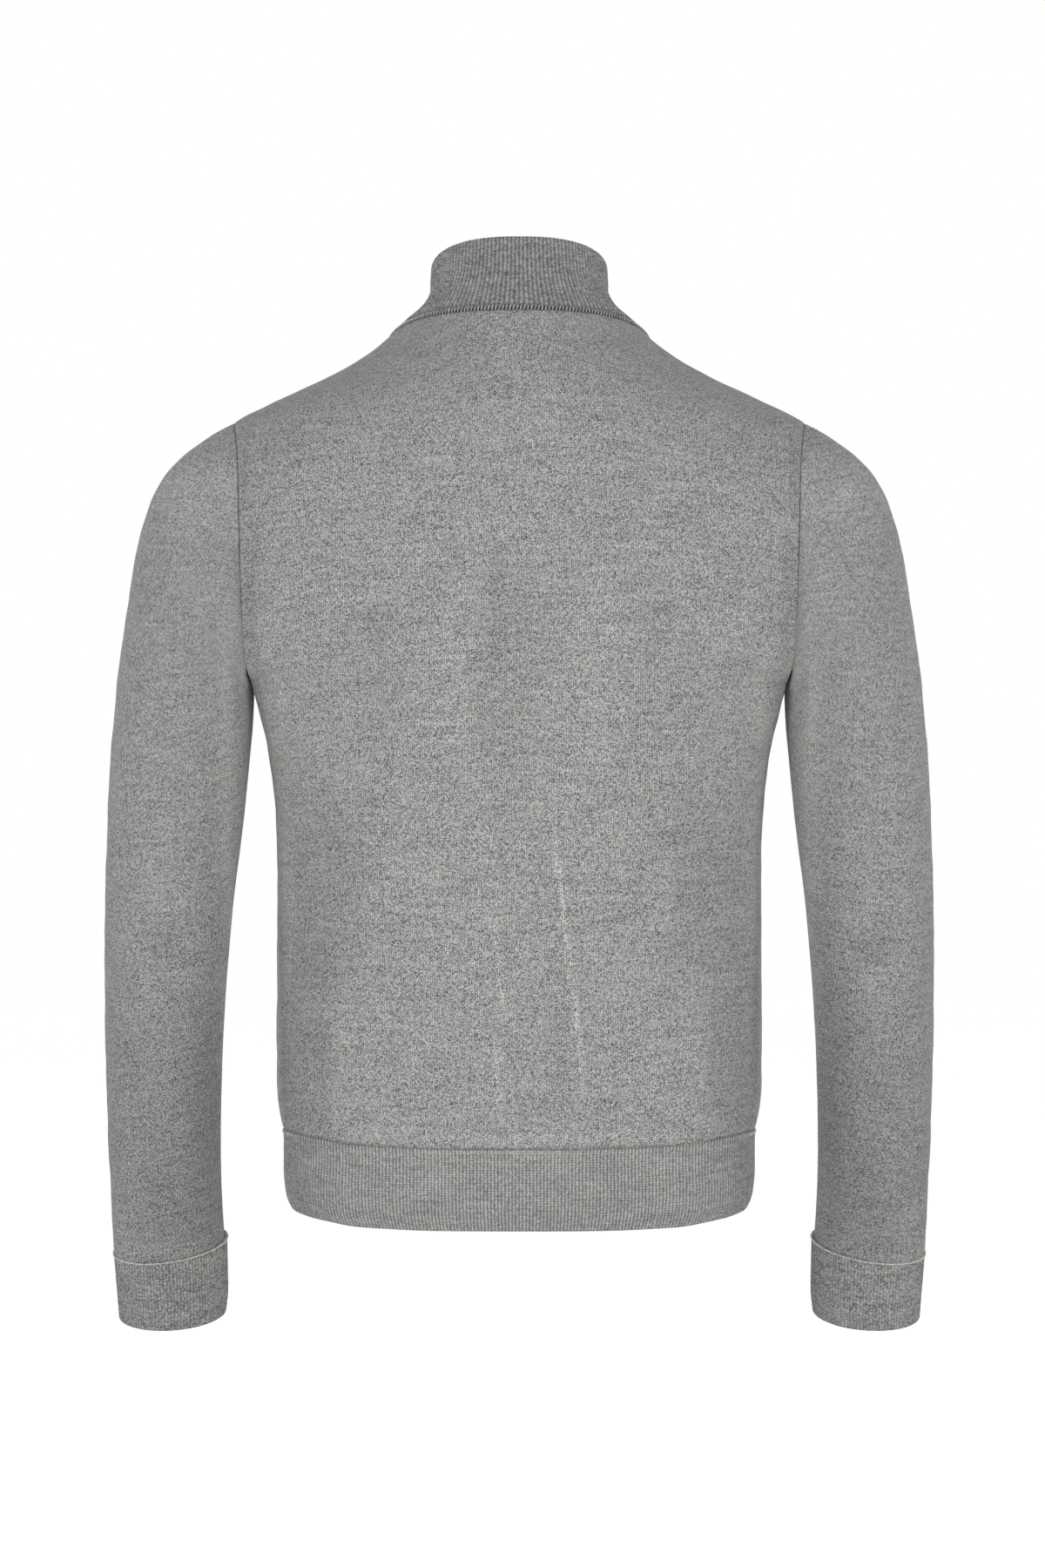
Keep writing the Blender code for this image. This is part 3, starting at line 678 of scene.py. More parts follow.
@dataclass(frozen=True)
class WoolKnit(Finish):
    """Merino wool spun from dark, grey and undyed fibres, then knitted and pressed.

    Each stitch is a small dome with painted shade in the gap round it, so the cloth reads as a fine
    grain. Every course is one yarn, whose tone drifts along it, which gives short level streaks. The
    loose fibre ends light up at the rim as a soft sheen."""

    dark: str = "#3b3b3b"
    light: str = "#e6e5e3"
    wale: float = 1.3
    course: float = 1.4
    stagger: float = 0.5
    slant: float = 0.0
    # the brightness left in the gap round each stitch: painted shade between the stitches
    gap: float = 0.45
    tone: float = 0.52
    flecks: float = 2.0  # how many tones there are across a wale
    tiers: float = 2.0  # how many tones there are up a course
    fleck: float = 0.88
    streak: float = 0.32
    streak_length: float = 44.0
    streak_height: float = 3.2
    cloud: float = 0.11
    cloud_size: float = 24.0
    relief: float = 0.3
    course_dip: float = 0.6  # how far a stitch falls away at the gap between courses
    fleck_relief: float = 0.35

    def inputs(self, node: Callable[..., bpy.types.Node]) -> dict[str, Any]:
        """Draws the stitches and their tones.

        Args:
            node: Adds a node to the material.

        Returns:
            What the shader's inputs get.
        """
        place = node("ShaderNodeUVMap", uv_map=CLOTH_MAP)
        split = node("ShaderNodeSeparateXYZ", {0: place})
        wales = node(MATH, {0: split.outputs[0], 1: self.wale}, operation="DIVIDE")
        wale = node(MATH, {0: wales}, operation="FLOOR")
        over = node(MATH, {0: wales}, operation="FRACT")
        off_middle = node(MATH, {0: over, 1: 0.5}, operation="SUBTRACT")
        aside = node(MATH, {0: off_middle}, operation="ABSOLUTE")
        raised = node(MATH, {0: split.outputs[1], 1: self.course}, operation="DIVIDE")
        offset = node(MATH, {0: wale, 1: self.stagger, 2: raised}, operation="MULTIPLY_ADD")
        courses = node(MATH, {0: aside, 1: self.slant, 2: offset}, operation="MULTIPLY_ADD")
        up = node(MATH, {0: courses}, operation="FRACT")
        domes = []
        for part in (over, up):
            angle = node(MATH, {0: part, 1: math.pi}, operation="MULTIPLY")
            domes.append(node(MATH, {0: angle}, operation="SINE"))
        low = node(MATH, {0: domes[1], 1: self.course_dip, 2: 1 - self.course_dip}, operation="MULTIPLY_ADD")
        stitch = node(MATH, {0: domes[0], 1: low}, operation="MULTIPLY")
        cells = []
        for count, share in ((wales, self.flecks), (courses, self.tiers)):
            finer = node(MATH, {0: count, 1: share}, operation="MULTIPLY")
            cells.append(node(MATH, {0: finer}, operation="FLOOR"))
        cell = node("ShaderNodeCombineXYZ", {0: cells[0], 1: cells[1]})
        fleck = node("ShaderNodeTexWhiteNoise", {"Vector": cell}, noise_dimensions="3D")
        level = (1 / self.streak_length, 1 / self.streak_height, 1.0)
        yarn = node("ShaderNodeVectorMath", {0: place, 1: level}, operation="MULTIPLY")
        streak = node(NOISE, {"Vector": yarn, "Scale": 1.0, "Detail": 2.0})
        cloud = node(NOISE, {"Vector": place, "Scale": 1 / self.cloud_size, "Detail": 2.0})
        tone: Any = self.tone
        for tones, share in ((fleck, self.fleck), (streak, self.streak), (cloud, self.cloud)):
            even = node(MATH, {0: tones, 1: 0.5}, operation="SUBTRACT")
            tone = node(MATH, {0: even, 1: share, 2: tone}, operation="MULTIPLY_ADD")
        # painted shade: each stitch darkens towards its gap
        shade = node(MATH, {0: stitch, 1: 1 - self.gap, 2: self.gap}, operation="MULTIPLY_ADD")
        # the piece's painted shade darkens the colour, and lightens it as a painted highlight where negative
        painted_darkening = node("ShaderNodeAttribute", attribute_name=PAINTED_SHADE_LAYER).outputs["Fac"]
        closed = node(MATH, {0: 1.0, 1: painted_darkening}, operation="SUBTRACT")
        shade = node(MATH, {0: shade, 1: closed}, operation="MULTIPLY")
        mixed = node(MATH, {0: tone, 1: shade}, operation="MULTIPLY", use_clamp=True)
        colours = {0: mixed, 6: linear(self.dark), 7: linear(self.light)}
        height = node(MATH, {0: fleck, 1: self.fleck_relief, 2: stitch}, operation="MULTIPLY_ADD")
        relief = {"Strength": 0.5, "Distance": self.relief * MM, "Height": height}
        return {
            "Base Color": node("ShaderNodeMix", colours, data_type="RGBA").outputs[2],
            "Normal": node("ShaderNodeBump", relief),
            "Roughness": 0.92,
            "Specular IOR Level": 0.2,
            "Sheen Weight": 0.25,
            "Sheen Roughness": 0.45,
            "Sheen Tint": linear("#f4f2ee"),
        }


@dataclass(frozen=True)
class WoolYarn(Finish):
    """The same melange yarn seen as single loops, soft and rounded, with tones that change from one
    short stretch of yarn to the next."""

    dark: str = "#5a5958"
    light: str = "#f0eeea"
    tone: float = 0.5
    contrast: float = 1.3
    tone_size: float = 1.6
    ply_size: float = 0.5

    def inputs(self, node: Callable[..., bpy.types.Node]) -> dict[str, Any]:
        """Draws the yarn's tones and its plies.

        Args:
            node: Adds a node to the material.

        Returns:
            What the shader's inputs get.
        """
        place = node("ShaderNodeTexCoord").outputs["Object"]
        tones = node(NOISE, {"Vector": place, "Scale": 1 / (self.tone_size * MM)})
        even = node(MATH, {0: tones, 1: 0.5}, operation="SUBTRACT")
        level = {0: even, 1: self.contrast, 2: self.tone}
        mixed = node(MATH, level, operation="MULTIPLY_ADD", use_clamp=True)
        colours = {0: mixed, 6: linear(self.dark), 7: linear(self.light)}
        plies = node(NOISE, {"Vector": place, "Scale": 1 / (self.ply_size * MM)})
        relief = {"Strength": 0.4, "Distance": 0.1 * MM, "Height": plies}
        return {
            "Base Color": node("ShaderNodeMix", colours, data_type="RGBA").outputs[2],
            "Normal": node("ShaderNodeBump", relief),
            "Roughness": 0.9,
            "Specular IOR Level": 0.2,
            "Sheen Weight": 0.25,
            "Sheen Roughness": 0.45,
        }


@dataclass(frozen=True)
class WovenTape(Finish):
    """Polyester zip tape, woven in a fine herringbone and dyed grey. It is smoother and darker than
    the knit, with a faint sheen on its ribs."""

    dark: str = "#6c6b6a"
    light: str = "#b4b2b0"
    zigzag: float = 2.2
    thread: float = 0.7
    tone: float = 0.3
    contrast: float = 0.12

    def inputs(self, node: Callable[..., bpy.types.Node]) -> dict[str, Any]:
        """Draws the herringbone.

        Args:
            node: Adds a node to the material.

        Returns:
            What the shader's inputs get.
        """
        split = node("ShaderNodeSeparateXYZ", {0: node("ShaderNodeUVMap", uv_map=CLOTH_MAP)})
        ply = node(MATH, {0: split.outputs[0], 1: self.zigzag}, operation="PINGPONG")
        slanted = node(MATH, {0: ply, 1: 1.0, 2: split.outputs[1]}, operation="MULTIPLY_ADD")
        angle = node(MATH, {0: slanted, 1: 2 * math.pi / self.thread}, operation="MULTIPLY")
        ribs = node(MATH, {0: angle}, operation="SINE")
        level = node(MATH, {0: ribs, 1: self.contrast, 2: self.tone}, operation="MULTIPLY_ADD")
        colours = {0: level, 6: linear(self.dark), 7: linear(self.light)}
        return {
            "Base Color": node("ShaderNodeMix", colours, data_type="RGBA").outputs[2],
            "Normal": node("ShaderNodeBump", {"Strength": 0.5, "Distance": 0.12 * MM, "Height": ribs}),
            "Roughness": 0.7,
            "Sheen Weight": 0.15,
        }


@dataclass(frozen=True)
class NickelPlate(Finish):
    """Die-cast zinc, tumbled and nickel plated: a warm grey metal with a satin face, a little rubbed
    and uneven, so reflections are soft and slightly broken."""

    colour: str = "#c9c5bd"
    smoothest: float = 0.2  # the roughness where it is least rubbed
    rub_depth: float = 0.25
    rub_size: float = 3.0
    pit_size: float = 0.4

    def inputs(self, node: Callable[..., bpy.types.Node]) -> dict[str, Any]:
        """Draws the rubbed and pitted face.

        Args:
            node: Adds a node to the material.

        Returns:
            What the shader's inputs get.
        """
        place = node("ShaderNodeTexCoord").outputs["Object"]
        rub = node(NOISE, {"Vector": place, "Scale": 1 / (self.rub_size * MM), "Detail": 4.0})
        pits = node(NOISE, {"Vector": place, "Scale": 1 / (self.pit_size * MM)})
        uneven = {0: rub, 1: self.rub_depth, 2: self.smoothest}
        return {
            "Base Color": linear(self.colour),
            "Metallic": 1.0,
            "Roughness": node(MATH, uneven, operation="MULTIPLY_ADD"),
            "Normal": node("ShaderNodeBump", {"Strength": 0.15, "Distance": 0.05 * MM, "Height": pits}),
        }


@dataclass(frozen=True)
class MattPaint(Finish):
    """Matt white studio paint on a level floor, with hardly any gloss. It is lit so evenly that it
    burns out to white, which the camera sees as a glow of its own."""

    dark: str = "#c9c9c8"
    light: str = "#cfcfce"
    glow: float = 0.85

    def inputs(self, node: Callable[..., bpy.types.Node]) -> dict[str, Any]:
        """Draws the paint's faint wear.

        Args:
            node: Adds a node to the material.

        Returns:
            What the shader's inputs get.
        """
        place = node("ShaderNodeTexCoord").outputs["Object"]
        wear = node(NOISE, {"Vector": place, "Scale": 1.5, "Detail": 3.0})
        colours = {0: wear, 6: linear(self.dark), 7: linear(self.light)}
        seen = node("ShaderNodeLightPath").outputs["Is Camera Ray"]
        return {
            "Base Color": node("ShaderNodeMix", colours, data_type="RGBA").outputs[2],
            "Emission Color": linear("#ffffff"),
            "Emission Strength": node(MATH, {0: seen, 1: self.glow}, operation="MULTIPLY"),
            "Roughness": 0.9,
            "Specular IOR Level": 0.1,
        }


JERSEY = WoolKnit("merino_wool_jersey")
RIB = WoolKnit(
    "merino_wool_rib", wale=2.5, course=1.85, stagger=0.0, slant=0.5, gap=0.28, tone=0.57,
    fleck=0.42, streak=0.35, cloud=0.12, relief=0.35,
)
# its lower tone is painted shade, for the collar rib's shadow on itself
COLLAR_RIB = replace(RIB, name="merino_wool_collar_rib", wale=2.7, stagger=0.5, tone=0.44)
CUFF_RIB = replace(RIB, name="merino_wool_cuff_rib", gap=0.5, tone=0.44, fleck=0.55)
YARN = WoolYarn("merino_wool_yarn", light="#e4e2de", tone=0.55)
BRIGHT_YARN = WoolYarn("pale_wool_yarn", dark="#807f7d", tone=0.68)
TAPE = WovenTape("woven_polyester_tape")
NICKEL = NickelPlate("nickel_plated_zinc")
FLOOR_PAINT = MattPaint("matt_studio_paint")


# ---------------------------------------------------------------------------------------------
# Cloth shells


class Edge(Enum):
    """How a cloth piece ends along an edge."""

    SEAM = "dips into the seam's groove"
    FOLD = "is turned over, with a round lip"
    JOIN = "runs on into the piece's own other edge"


@dataclass(frozen=True)
class Crease:
    """A soft ridge or trough in the cloth.

    Its ends are places on the cloth, across and up, and it may bow to one side between them. rise
    is how high it stands, or how deep it lies if negative. Its painted light is a painted highlight
    along its crest, or painted shade where negative. A firm one is flat, with steeper sides. One on
    both sides has its mirror image too."""

    start: tuple[float, float]
    end: tuple[float, float]
    half_width: float
    rise: float
    bow: float = 0
    # a painted highlight along the crest, painted shade where negative
    painted_light: float = 0
    firm: float = 1
    both: bool = False

    def profile(self, across: Array, up: Array) -> Array:
        """How much of the crease there is, from 0 to 1.

        Args:
            across: How far across the cloth the places are.
            up: How far up it they are.

        Returns:
            The crease's share at each place.
        """
        way = np.subtract(self.end, self.start)
        length = float(np.hypot(*way))
        over, rise = across - self.start[0], up - self.start[1]
        share = np.clip((over * way[0] + rise * way[1]) / length**2, 0, 1)
        aside = (over * way[1] - rise * way[0]) / length - self.bow * 4 * share * (1 - share)
        beyond = (over * way[0] + rise * way[1]) / length - share * length
        fade = np.sin(np.pi * share) ** 0.5
        return fade * np.exp(-(((aside**2 + beyond**2) / self.half_width**2) ** self.firm))


def creased(creases: Sequence[Crease], across: Array, up: Array) -> tuple[Array, Array]:
    """What creases do to the cloth.

    Args:
        creases: The creases.
        across: How far across the cloth the places are.
        up: How far up it they are.

    Returns:
        How far the cloth is lifted at each place, and the painted shade there, a painted highlight where
        negative.
    """
    lift, painted_shade = np.zeros_like(across), np.zeros_like(across)
    for crease in creases:
        for side in (across, -across) if crease.both else (across,):
            profile = crease.profile(side, up)
            lift += crease.rise * profile
            painted_shade -= crease.painted_light * profile
    return lift, painted_shade


@dataclass
class Cloth:
    """A cloth piece as a grid of points on its outer face, with rows up it and columns round it.

    across and along place each point in its knit, wall is its thickness, and lift is how far the
    outer face stands off the form. edges are the bottom, the top, the first and the last column."""

    name: str
    points: Array
    across: Array
    along: Array
    wall: float
    edges: tuple[Edge, ...]
    finish: Finish
    lift: Array | float = 0.0
    inner_lift: Array | float = 0.0
    # painted shade on the piece, a painted highlight where negative; seam_shade is painted shade beside each
    # seam
    painted_shade: Array | float = 0.0
    seam_shade: tuple[float, ...] = (0.3, 0.3, 0.3, 0.3)
    seam_reach: float = 2.2
    groove_depth: float = 0.75
    groove_width: float = 2.8
    shift: float = 0.0  # slides the yarn's tones across the piece
    mirror_shift: float = 731.0  # keeps a mirrored piece from repeating its twin's tones

    def mirrored(self, name: str) -> "Cloth":
        """The same piece for the other side of the body.

        Args:
            name: The new piece's name.

        Returns:
            The new piece.
        """
        bottom, top, first, last = self.edges
        turned = {
            key: np.broadcast_to(getattr(self, key), self.across.shape)[:, ::-1]
            for key in ("along", "lift", "inner_lift", "painted_shade")
        }
        return replace(
            self, name=name, points=(self.points * (-1, 1, 1))[:, ::-1], across=-self.across[:, ::-1],
            edges=(bottom, top, last, first), shift=self.shift + self.mirror_shift, **turned,
        )

    def normals(self) -> Array:
        """The way the form faces at each point.

        Returns:
            The directions, one unit long.
        """
        wide, joined = self.points, self.edges[2] is Edge.JOIN
        if joined:
            wide = np.concatenate([wide[:, -2:-1], wide, wide[:, 1:2]], axis=1)
        way = unit(np.cross(np.gradient(wide, axis=1), np.gradient(wide, axis=0)))
        return way[:, 1:-1] if joined else way

    def size(self) -> tuple[float, float, float]:
        """The flat size of the cloth.

        Returns:
            Its width and length in metres, and its area in square metres.
        """
        row, up = lengths(self.points, 1), lengths(self.points, 0)
        width, length = float(row[:, -1].max()), float(up[-1].max())
        a = self.points[1:, 1:] - self.points[:-1, :-1]
        b = self.points[1:, :-1] - self.points[:-1, 1:]
        area = float(np.linalg.norm(np.cross(a, b), axis=-1).sum()) / 2
        return width * MM, length * MM, min(area, width * length) * MM * MM

    def faces(self) -> tuple[Array, Array]:
        """The two faces of the cloth, with their grooves and lips.

        Returns:
            The outer face's points and the inner face's.
        """
        drop, rise = np.zeros_like(self.across), np.zeros_like(self.across)
        lip = self.wall / 2
        for edge, distance in zip(self.edges, from_edges(self.points)):
            if edge is Edge.SEAM:
                drop = np.maximum(drop, self.groove_depth * (1 - ease(distance / self.groove_width)))
            elif edge is Edge.FOLD:
                short = np.clip(lip - distance, 0, lip)
                turned = lip - np.sqrt(lip**2 - short**2)
                drop, rise = np.maximum(drop, turned), np.maximum(rise, turned)
        drop = np.minimum(drop, self.wall - rise)
        kept = 1 - rise / lip
        out = self.normals()
        outer = self.points + out * (self.lift * kept - drop)[..., None]
        return outer, self.points - out * (self.wall - rise - self.inner_lift * kept)[..., None]

    def shaded(self) -> Array:
        """The painted shade at each point, with more painted shade beside the seams.

        Returns:
            The painted shade at each point.
        """
        total = np.zeros_like(self.across) + self.painted_shade
        for edge, distance, shade in zip(self.edges, from_edges(self.points), self.seam_shade):
            if edge is Edge.SEAM:
                total = total + shade * (1 - ease(distance / self.seam_reach))
        return total

    def build(self) -> bpy.types.Object:
        """Makes the piece as one closed shell with its finish.

        Returns:
            The piece.
        """
        outer, inner = self.faces()
        front = np.arange(self.across.size).reshape(self.across.shape)
        back = front + front.size
        quads = [
            (front[:-1, :-1], front[:-1, 1:], front[1:, 1:], front[1:, :-1]),
            (back[:-1, :-1], back[1:, :-1], back[1:, 1:], back[:-1, 1:]),
            (back[0, :-1], back[0, 1:], front[0, 1:], front[0, :-1]),
            (front[-1, :-1], front[-1, 1:], back[-1, 1:], back[-1, :-1]),
        ]
        if self.edges[2] is not Edge.JOIN:
            quads.append((back[:-1, 0], front[:-1, 0], front[1:, 0], back[1:, 0]))
            quads.append((front[:-1, -1], back[:-1, -1], back[1:, -1], front[1:, -1]))
        faces = np.concatenate([np.stack([c.ravel() for c in quad], axis=1) for quad in quads])
        places = np.concatenate([outer.reshape(-1, 3), inner.reshape(-1, 3)]) * MM
        mesh = bpy.data.meshes.new(self.name)
        mesh.from_pydata(places.tolist(), [], faces.tolist())
        knit = np.stack([self.across + self.shift, self.along], axis=-1).reshape(-1, 2)
        corner = np.zeros(len(mesh.loops), np.int32)
        mesh.loops.foreach_get("vertex_index", corner)
        layer = mesh.uv_layers.new(name=CLOTH_MAP)
        layer.uv.foreach_set("vector", knit[corner % front.size].astype(np.float32).ravel())
        painted_shade = np.tile(self.shaded().ravel(), 2).astype(np.float32)
        mesh.attributes.new(PAINTED_SHADE_LAYER, "FLOAT", "POINT").data.foreach_set("value", painted_shade)
        obj = finished(self.name, mesh, self.finish)
        weld(mesh)
        return obj


def weld(mesh: bpy.types.Mesh, distance: float = 0.004 * MM) -> None:
    """Welds a mesh's points that lie together, and shades it smooth.

    Args:
        mesh: The mesh.
        distance: How close together they lie, in metres.
    """
    work = bmesh.new()
    work.from_mesh(mesh)
    bmesh.ops.remove_doubles(work, verts=work.verts, dist=distance)
    bmesh.ops.dissolve_degenerate(work, edges=work.edges, dist=distance / 4)
    work.to_mesh(mesh)
    work.free()
    mesh.shade_smooth()


def finished(name: str, mesh: bpy.types.Mesh, finish: Finish) -> bpy.types.Object:
    """Puts a mesh in the scene with its finish.

    Args:
        name: The name of the mesh and its object.
        mesh: The mesh.
        finish: The finish.

    Returns:
        The object.
    """
    mesh.name = name
    mesh.materials.clear()
    mesh.materials.append(finish.material())
    obj = bpy.data.objects.new(name, mesh)
    bpy.context.scene.collection.objects.link(obj)
    return obj


def report(obj: bpy.types.Object) -> None:
    """Logs a piece's name and its triangles."""
    triangles = sum(len(face.vertices) - 2 for face in obj.data.polygons)
    log.info("%-24s %8d triangles", obj.name, triangles)


def hang(cloth: Cloth, node: str) -> None:
    """Builds a cloth piece, hides the solid that it replaces, and logs its size.

    Args:
        cloth: The piece.
        node: The solid that it replaces.
    """
    obj = cloth.build()
    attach(obj, GARMENT)
    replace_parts(obj, node)
    width, length, area = cloth.size()
    report(obj)
    log.info("%-24s cut %.3f x %.3f m, %.4f square metres", "", width, length, area)


def hang_both(left: Cloth, node: str) -> None:
    """Builds a cloth piece of the left side and its mirror image.

    Args:
        left: The left piece.
        node: The solid that it replaces.
    """
    hang(left, node)
    hang(left.mirrored(left.name.replace("left", "right")), node.replace("left", "right"))


# ---------------------------------------------------------------------------------------------
# The knitted pieces

NEAR_EDGE = (0.0, 0.2, 0.45, 0.8, 1.3, 2.0, 2.9)
NEAR_ARMHOLE_END = (0.0, 0.2, 0.8, 1.8, 3.2)
SLACK = 0.09  # how high each wave of the slack knit stands


def slack(across: Array, up: Array, seed: float) -> Array:
    """How far pressed knit strays from its form: a fraction of a millimetre, in soft clouds.

    Args:
        across: How far across the cloth the places are.
        up: How far up it they are.
        seed: Makes one piece's clouds differ from another's.

    Returns:
        The lift at each place.
    """
    waves = ((61, 23, 0.0), (-37, 52, 1.7), (83, -71, 3.1), (29, 44, 4.4), (-113, 90, 0.6))
    total = np.zeros_like(across)
    for wide, tall, phase in waves:
        total += np.sin(2 * np.pi * (across / wide + up / tall) + phase * (1 + seed))
    return total * SLACK


@dataclass(frozen=True)
class Panels:
    """The back and the two fronts, from the hem seam up to the armholes, shoulders and neck.

    Creases lie at X and Z on the back, and across from the zip and at Z on the left front."""

    form: BodyForm = BodyForm()
    wall: float = 1.5
    step: float = 3.3
    back_width: float = 470.0
    back_fine: tuple[float, float] = (205.0, 285.0)  # where the sharp creases need closer columns
    front_width: float = 232.0
    yoke: float = 110.0
    calm_edge: float = 9.0
    back_creases: tuple[Crease, ...] = (
        # the two sharp creases that folding has pressed in and the soft bands into them: painted highlights
        Crease((-24, -368), (-48, -572), 2.3, 0.7, 0.8, 0.38),
        Crease((18, -436), (11, -506), 2.3, 0.5, 0, 0.3),
        Crease((16, -524), (15, -574), 2.3, 0.4, 0, 0.3),
        Crease((-60, -180), (-57, -312), 15, 1.2, 0, 0.08),
        Crease((-58, -280), (-27, -385), 9, 1, -5, 0.07),
        Crease((46, -180), (44, -330), 13, 1.2, 0, 0.09),
        Crease((45, -300), (18, -445), 8, 1, 5, 0.07),
        # the hollow along the spine, with small puckers, in painted shade
        Crease((3, -180), (3, -360), 22, -1.4, 2, -0.06),
        Crease((18, -150), (13, -262), 9, -0.7, 2, -0.07),
        Crease((22, -296), (6, -294), 4, -0.5, 0, -0.12),
        Crease((28, -331), (16, -345), 4, -0.6, 0, -0.14),
        Crease((-24, -495), (-34, -585), 8, -0.8, 0, -0.09),
        # shallow hollows below the shoulder blades, in painted shade
        Crease((110, -208), (104, -266), 13, -0.6, 2, -0.09),
        Crease((-98, -206), (-94, -258), 11, -0.6, 2, -0.07),
        Crease((-152, -290), (-118, -352), 7, -0.7, 3, -0.06),
        # short upright wrinkles at the waist with painted highlights, one trough in painted shade
        Crease((110, -380), (111, -450), 3.4, 0.6, 0, 0.1),
        Crease((94, -382), (94, -446), 3.4, 0.6, 0, 0.09),
        Crease((78, -384), (76, -442), 3.4, 0.5, 0, 0.06),
        Crease((-106, -384), (-108, -446), 3.6, 0.6, 0, 0.09),
        Crease((-87, -392), (-87, -440), 4, -0.5, 0, -0.08),
        # level ridges where the knit has been folded, with painted highlights; two troughs in painted shade
        Crease((42, -154), (-26, -156), 3.4, 0.4, 0, 0.08),
        Crease((94, -170), (26, -170), 3.4, 0.3, 0, 0.06),
        Crease((-38, -170), (-96, -170), 3.4, 0.3, 0, 0.09),
        Crease((130, -221), (50, -223), 3, -0.3, 0, -0.06),
        Crease((-58, -223), (-118, -222), 3, -0.3, 0, -0.06),
        Crease((120, -594), (-120, -594), 2.6, 0, 0, 0.14),
        # painted shade where the sides turn away and on the shoulders, with a few broad painted highlights
        Crease((152, -340), (150, -486), 32, -2.6, 0, -0.17, 3),
        Crease((166, -440), (172, -680), 28, -2.4, 0, -0.19, 2.5),
        Crease((-148, -340), (-148, -476), 34, -2.6, 0, -0.14, 2.5),
        Crease((-162, -440), (-174, -680), 28, -2.4, 0, -0.19, 2.5),
        Crease((86, -88), (-86, -88), 24, 0, 0, 0.07),
        Crease((34, -210), (30, -420), 12, 0, 0, -0.05),
        Crease((104, -210), (106, -510), 16, 0, 0, -0.05),
        Crease((-104, -210), (-106, -510), 16, 0, 0, -0.03),
        Crease((84, -22), (16, -20), 14, 0, 0, -0.07, both=True),
        Crease((146, -84), (232, -114), 20, 0, 0, -0.05, both=True),
        Crease((190, -236), (186, -320), 12, 0, 0, 0.12, both=True),
        Crease((162, -74), (161, -114), 4, -0.4, 0, -0.1),
        # painted shade in the armpits' hollows, at the seams' tops and down the sides; armpit pulls
        Crease((200, -150), (206, -264), 8, -0.9, 0, -0.22, both=True),
        Crease((208, -82), (204, -150), 3, 0, 0, -0.2, both=True),
        Crease((240, -288), (206, -372), 9, 0, 0, -0.35, both=True),
        Crease((205, -366), (194, -600), 8, 0, 0, -0.3, both=True),
        Crease((150, -300), (178, -262), 7, -1.3, 3),
        Crease((-148, -302), (-176, -264), 7, -1.3, -3),
        Crease((128, -318), (170, -282), 9, 0.8, 4),
        Crease((-130, -322), (-168, -286), 9, 0.8, -4),
    )
    front_creases: tuple[Crease, ...] = (
        # ridges with painted highlights, troughs in painted shade, and painted shade at the side and
        # shoulder
        Crease((52, -330), (60, -560), 7, 0.9, 4, 0.07),
        Crease((92, -380), (84, -575), 9, -0.8, -3, -0.08),
        Crease((122, -300), (156, -252), 8, -1.4, 3, -0.08),
        Crease((104, -326), (148, -280), 10, 0.9, 5, 0.06),
        Crease((28, -240), (38, -420), 8, 0.6, 3, 0.07),
        Crease((70, -190), (74, -330), 16, 1, 0, 0.07),
        Crease((130, -560), (80, -584), 8, -0.8, 2, -0.08),
        Crease((20, -470), (24, -590), 6, -0.6, -2, -0.06),
        Crease((168, -300), (172, -680), 30, -1.8, 0, -0.14, 2),
        Crease((150, -90), (232, -130), 22, 0, 0, -0.1),
    )

    def rows(self) -> Iterator[tuple[Line, float | None]]:
        """The panel's rows from the hem up.

        Yields:
            A row's height at a turn, and its level where an armhole bites into it.
        """
        form = self.form
        tip, armpit, seam = form.shoulder_tip_z, form.armpit_z, form.hem_seam_z
        lower = armpit - seam
        for s in stations(lower, self.step, NEAR_EDGE, (0.0,)) / lower:
            yield lambda t, s=s: (seam - form.hem_dip(t)) * (1 - s) + armpit * s, None
        for level in armpit + stations(tip - armpit, self.step, NEAR_ARMHOLE_END, NEAR_ARMHOLE_END)[1:]:
            yield lambda t, z=level: np.full_like(t, z), float(level)
        for s in stations(self.yoke, self.step, NEAR_ARMHOLE_END, NEAR_EDGE)[1:] / self.yoke:
            yield lambda t, s=s: tip * (1 - s) + form.neckline_z(t) * s, None

    def grid(self, side: Side) -> tuple[Array, Array]:
        """Where a panel's points are.

        Args:
            side: The whole back, or the left front.

        Returns:
            The points' turns and heights.
        """
        form, back = self.form, side is Side.BACK
        width, fine = (self.back_width, self.back_fine) if back else (self.front_width, (0.0, 0.0))
        shares = stations(width, self.step, NEAR_EDGE, NEAR_EDGE, fine) / width
        turns, heights = [], []
        for height, level in self.rows():
            start = 0.0 if level is None else float(form.armhole_turn(level, side))
            end = math.pi - start
            if not back:
                centre = float(height(np.array(-QUARTER_TURN)))
                start, end = float(form.turn_at_x(form.opening_half_width, centre, side)), start
            turn = evenly(lambda t, height=height: form.point(t, height(t)), start, end, shares)
            turns.append(turn)
            heights.append(height(turn))
        return np.array(turns), np.array(heights)

    def panel(self, name: str, side: Side) -> Cloth:
        """A panel as a cloth piece.

        Args:
            name: Its name.
            side: The whole back, or the left front.

        Returns:
            The piece.
        """
        back = side is Side.BACK
        turn, z = self.grid(side)
        points = self.form.point(turn, z)
        across, along = self.form.knit_place(turn, z, QUARTER_TURN if back else -QUARTER_TURN)
        creases = self.back_creases if back else self.front_creases
        lift, painted_shade = creased(creases, -across if back else across, z)
        lift = (lift + slack(across, z, 0.0 if back else 1.0)) * calm(points, self.calm_edge, self.calm_edge)
        edges = (Edge.SEAM, Edge.SEAM, Edge.SEAM if back else Edge.FOLD, Edge.SEAM)
        return Cloth(
            name, points, across, along, self.wall, edges, JERSEY, lift, lift, painted_shade,
            seam_shade=(0.4, 0.8, 0.16, 0.16),
        )

    def build(self) -> None:
        """Makes the three panels."""
        hang(self.panel("back_knit", Side.BACK), "back")
        hang_both(self.panel("front_left_knit", Side.FRONT), "front_left")


